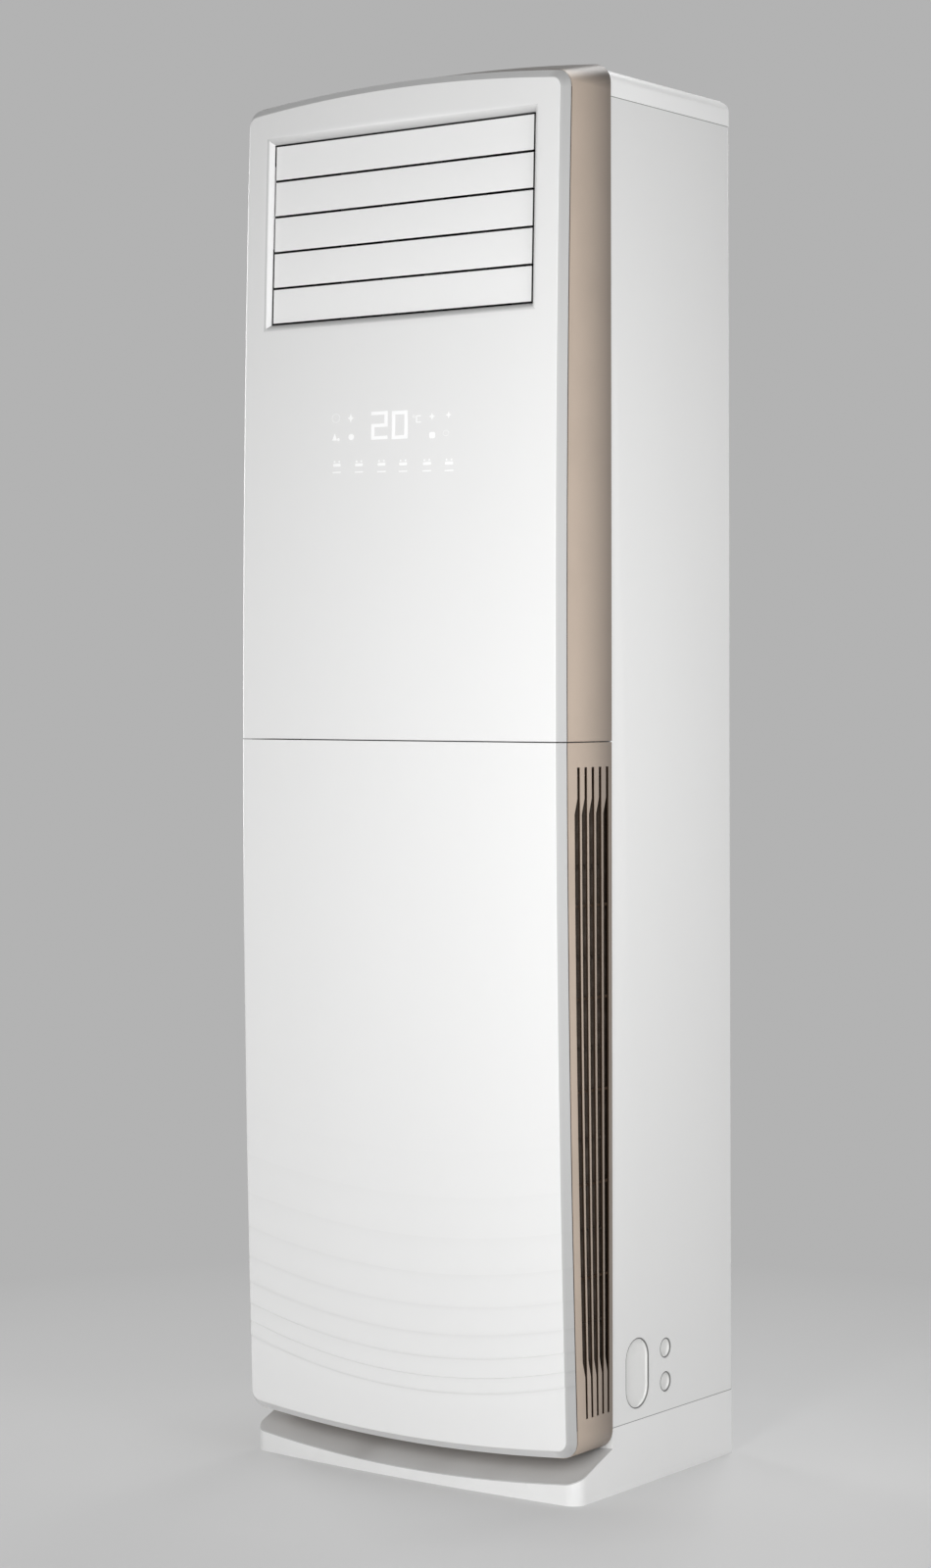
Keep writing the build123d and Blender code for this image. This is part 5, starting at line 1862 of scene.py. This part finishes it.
@dataclass(frozen=True)
class Glyph:
    """One digit or letter as cells of a grid, of which some are left out."""

    x: float
    z: float
    wide: float
    tall: float
    stroke: float
    rows: tuple[str, ...]
    bar_share: float = 0.86

    def add(self, bm: bmesh.types.BMesh) -> None:
        """Add the glyph as flat faces in the plane of the front.

        Args:
            bm: The mesh that it is added to.
        """
        widths = (self.stroke, self.wide - 2 * self.stroke, self.stroke)
        wide, tall = len(widths), len(self.rows)
        bar, bars = self.stroke * self.bar_share, (tall + 1) // 2
        between = (self.tall - bars * bar) / (tall - bars)
        heights = [between if row % 2 else bar for row in range(tall)]
        cells = bmesh.ops.create_grid(bm, x_segments=wide, y_segments=tall, size=1.0)["verts"]
        faces = list({face for vert in cells for face in vert.link_faces})
        spots = {}
        for face in faces:
            middle = face.calc_center_median()
            spots[face] = int((middle.x + 1) / 2 * wide), int((1 - middle.y) / 2 * tall)
        for vert in cells:
            column = round((vert.co.x + 1) / 2 * wide)
            row = round((1 - vert.co.y) / 2 * tall)
            x = self.x - self.wide / 2 + sum(widths[:column])
            vert.co = Vector((x, 0.0, self.z + self.tall / 2 - sum(heights[:row])))
        gone = [face for face, (column, row) in spots.items() if self.rows[row][column] != "#"]
        bmesh.ops.delete(bm, geom=gone, context="FACES")


@dataclass
class GlowDisplay:
    """Lit marks that shine through the upper front: a temperature, small signs and a key row."""

    face: FrontFace = FrontFace()
    proud: float = 0.00012
    thick: float = 0.0004
    keys_x: tuple[float, ...] = (-92.8, -55.6, -17.9, 17.4, 56.0, 91.2)
    keys_z: float = 1314.7
    keys_fall: float = 0.026

    def digits(self) -> list[Glyph]:
        """Lay out the set temperature.

        Returns:
            Its two digits.
        """
        two = ("###", "..#", "###", "#..", "###")
        nought = ("###", "#.#", "#.#", "#.#", "###")
        return [
            Glyph(-22.0, 1363.8, 27.0, 36.5, 5.0, two),
            Glyph(11.4, 1363.0, 25.6, 36.5, 5.2, nought),
        ]

    def signs(self) -> list[Mark | Glyph]:
        """Lay out the small signs around the digits and the row of keys below them.

        Returns:
            The signs.
        """
        marks: list[Mark | Glyph] = [
            Mark(-95.0, 1377.0, 13.0, 11.5, Shape.RING),
            Mark(-70.0, 1375.6, 11.0, 12.0, Shape.STAR),
            Mark(-97.0, 1350.5, 9.0, 12.0, Shape.DROP),
            Mark(-90.6, 1348.4, 4.0, 4.0, Shape.DISC),
            Mark(-69.0, 1350.8, 9.0, 8.0, Shape.DISC),
            Mark(34.4, 1373.0, 3.4, 3.4, Shape.RING),
            Glyph(42.0, 1369.0, 8.0, 9.5, 1.5, ("###", "#..", "###")),
            Mark(63.6, 1371.4, 10.0, 9.0, Shape.STAR),
            Mark(90.0, 1372.0, 9.0, 9.0, Shape.STAR),
            Mark(64.0, 1347.0, 9.0, 8.0),
            Mark(86.0, 1349.0, 9.0, 7.0, Shape.RING),
        ]
        for x in self.keys_x:
            z = self.keys_z - self.keys_fall * (x - self.keys_x[0])
            marks.append(Mark(x, z, 12.5, 3.6))
            marks.append(Mark(x - 4.0, z + 4.5, 2.6, 2.2))
            marks.append(Mark(x + 4.0, z + 4.5, 2.6, 2.2))
            marks.append(Mark(x, z - 9.5, 14.0, 1.5))
        return marks

    def build(self, name: str, marks: Sequence[Mark | Glyph]) -> bpy.types.Object:
        """Build one set of marks, laid on the curved face.

        Args:
            name: The piece's name.
            marks: Its marks.

        Returns:
            The piece.
        """
        bm = bmesh.new()
        for mark in marks:
            mark.add(bm)
        for vert in bm.verts:
            vert.co *= MILLIMETRE
        bmesh.ops.recalc_face_normals(bm, faces=bm.faces)
        for face in bm.faces:
            if face.normal.y > 0:
                face.normal_flip()
        bmesh.ops.solidify(bm, geom=bm.faces[:], thickness=self.thick)
        for vert in bm.verts:
            back = self.thick if abs(vert.co.y) > 0.5 * self.thick else 0.0
            vert.co.y = self.face.y_at(vert.co.x, vert.co.z) - self.proud + back
        bmesh.ops.recalc_face_normals(bm, faces=bm.faces)
        piece = new_piece(name, bm, "cabinet", Tone.LIT)
        smooth_by_angle(piece.data, 30.0)
        return piece


# ---------------------------------------------------------------- rounded copies
@dataclass(frozen=True)
class RoundedCopy:
    """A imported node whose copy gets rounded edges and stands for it."""

    node: str
    width: float
    angle: float = 30.0
    same_place: float = 2e-6
    flat: float = 0.2

    def build(self, frame: dict) -> bpy.types.Object:
        """Merge a copy of the node, round it and let it stand for the node.

        Args:
            frame: The loaded frame.

        Returns:
            The copy.
        """
        source = frame["nodes"][self.node]
        bm = bmesh.new()
        bm.from_mesh(source.data)
        bmesh.ops.remove_doubles(bm, verts=bm.verts, dist=self.same_place)
        bmesh.ops.dissolve_limit(
            bm, angle_limit=math.radians(self.flat), verts=bm.verts, edges=bm.edges
        )
        tone = Tone.of_slot(source.data.materials[0].name.removeprefix("finish_"))
        piece = new_piece(self.node + "_rounded", bm, source["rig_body"], tone)
        smooth_by_angle(piece.data, self.angle)
        soften(piece, self.width, self.angle)
        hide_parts(self.node)
        return piece


# --------------------------------------------------------------------- CAD nodes
@dataclass
class CarriedNodes:
    """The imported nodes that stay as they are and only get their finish."""

    nodes: dict[str, bpy.types.Object]
    record: dict

    def dress(self) -> None:
        """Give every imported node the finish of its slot."""
        slots = {part["node"]: part["material_slot"] for part in self.record["subparts"]}
        for name, node in self.nodes.items():
            material = Tone.of_slot(slots[name]).value.material()
            node.data.materials.clear()
            node.data.materials.append(material)
            LOG.info("%s: finish %s", name, slots[name])


def main() -> None:
    """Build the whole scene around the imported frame."""
    logging.basicConfig(level=logging.INFO, format="%(name)s %(message)s")
    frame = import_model()
    Studio().build()
    CarriedNodes(frame["nodes"], frame["record"]).dress()
    LowerSkin("lower_front_skin", "lower_front_panel", "lower_front", -0.0003).build()
    UpperSkin("upper_front_skin", "upper_front_panel", "cabinet").build()
    display = GlowDisplay()
    display.build("display_digits", display.digits())
    display.build("display_signs", display.signs())
    for node, width in EDGE_ROUNDING.items():
        RoundedCopy(node, width).build(frame)


if __name__ == "__main__":
    main()
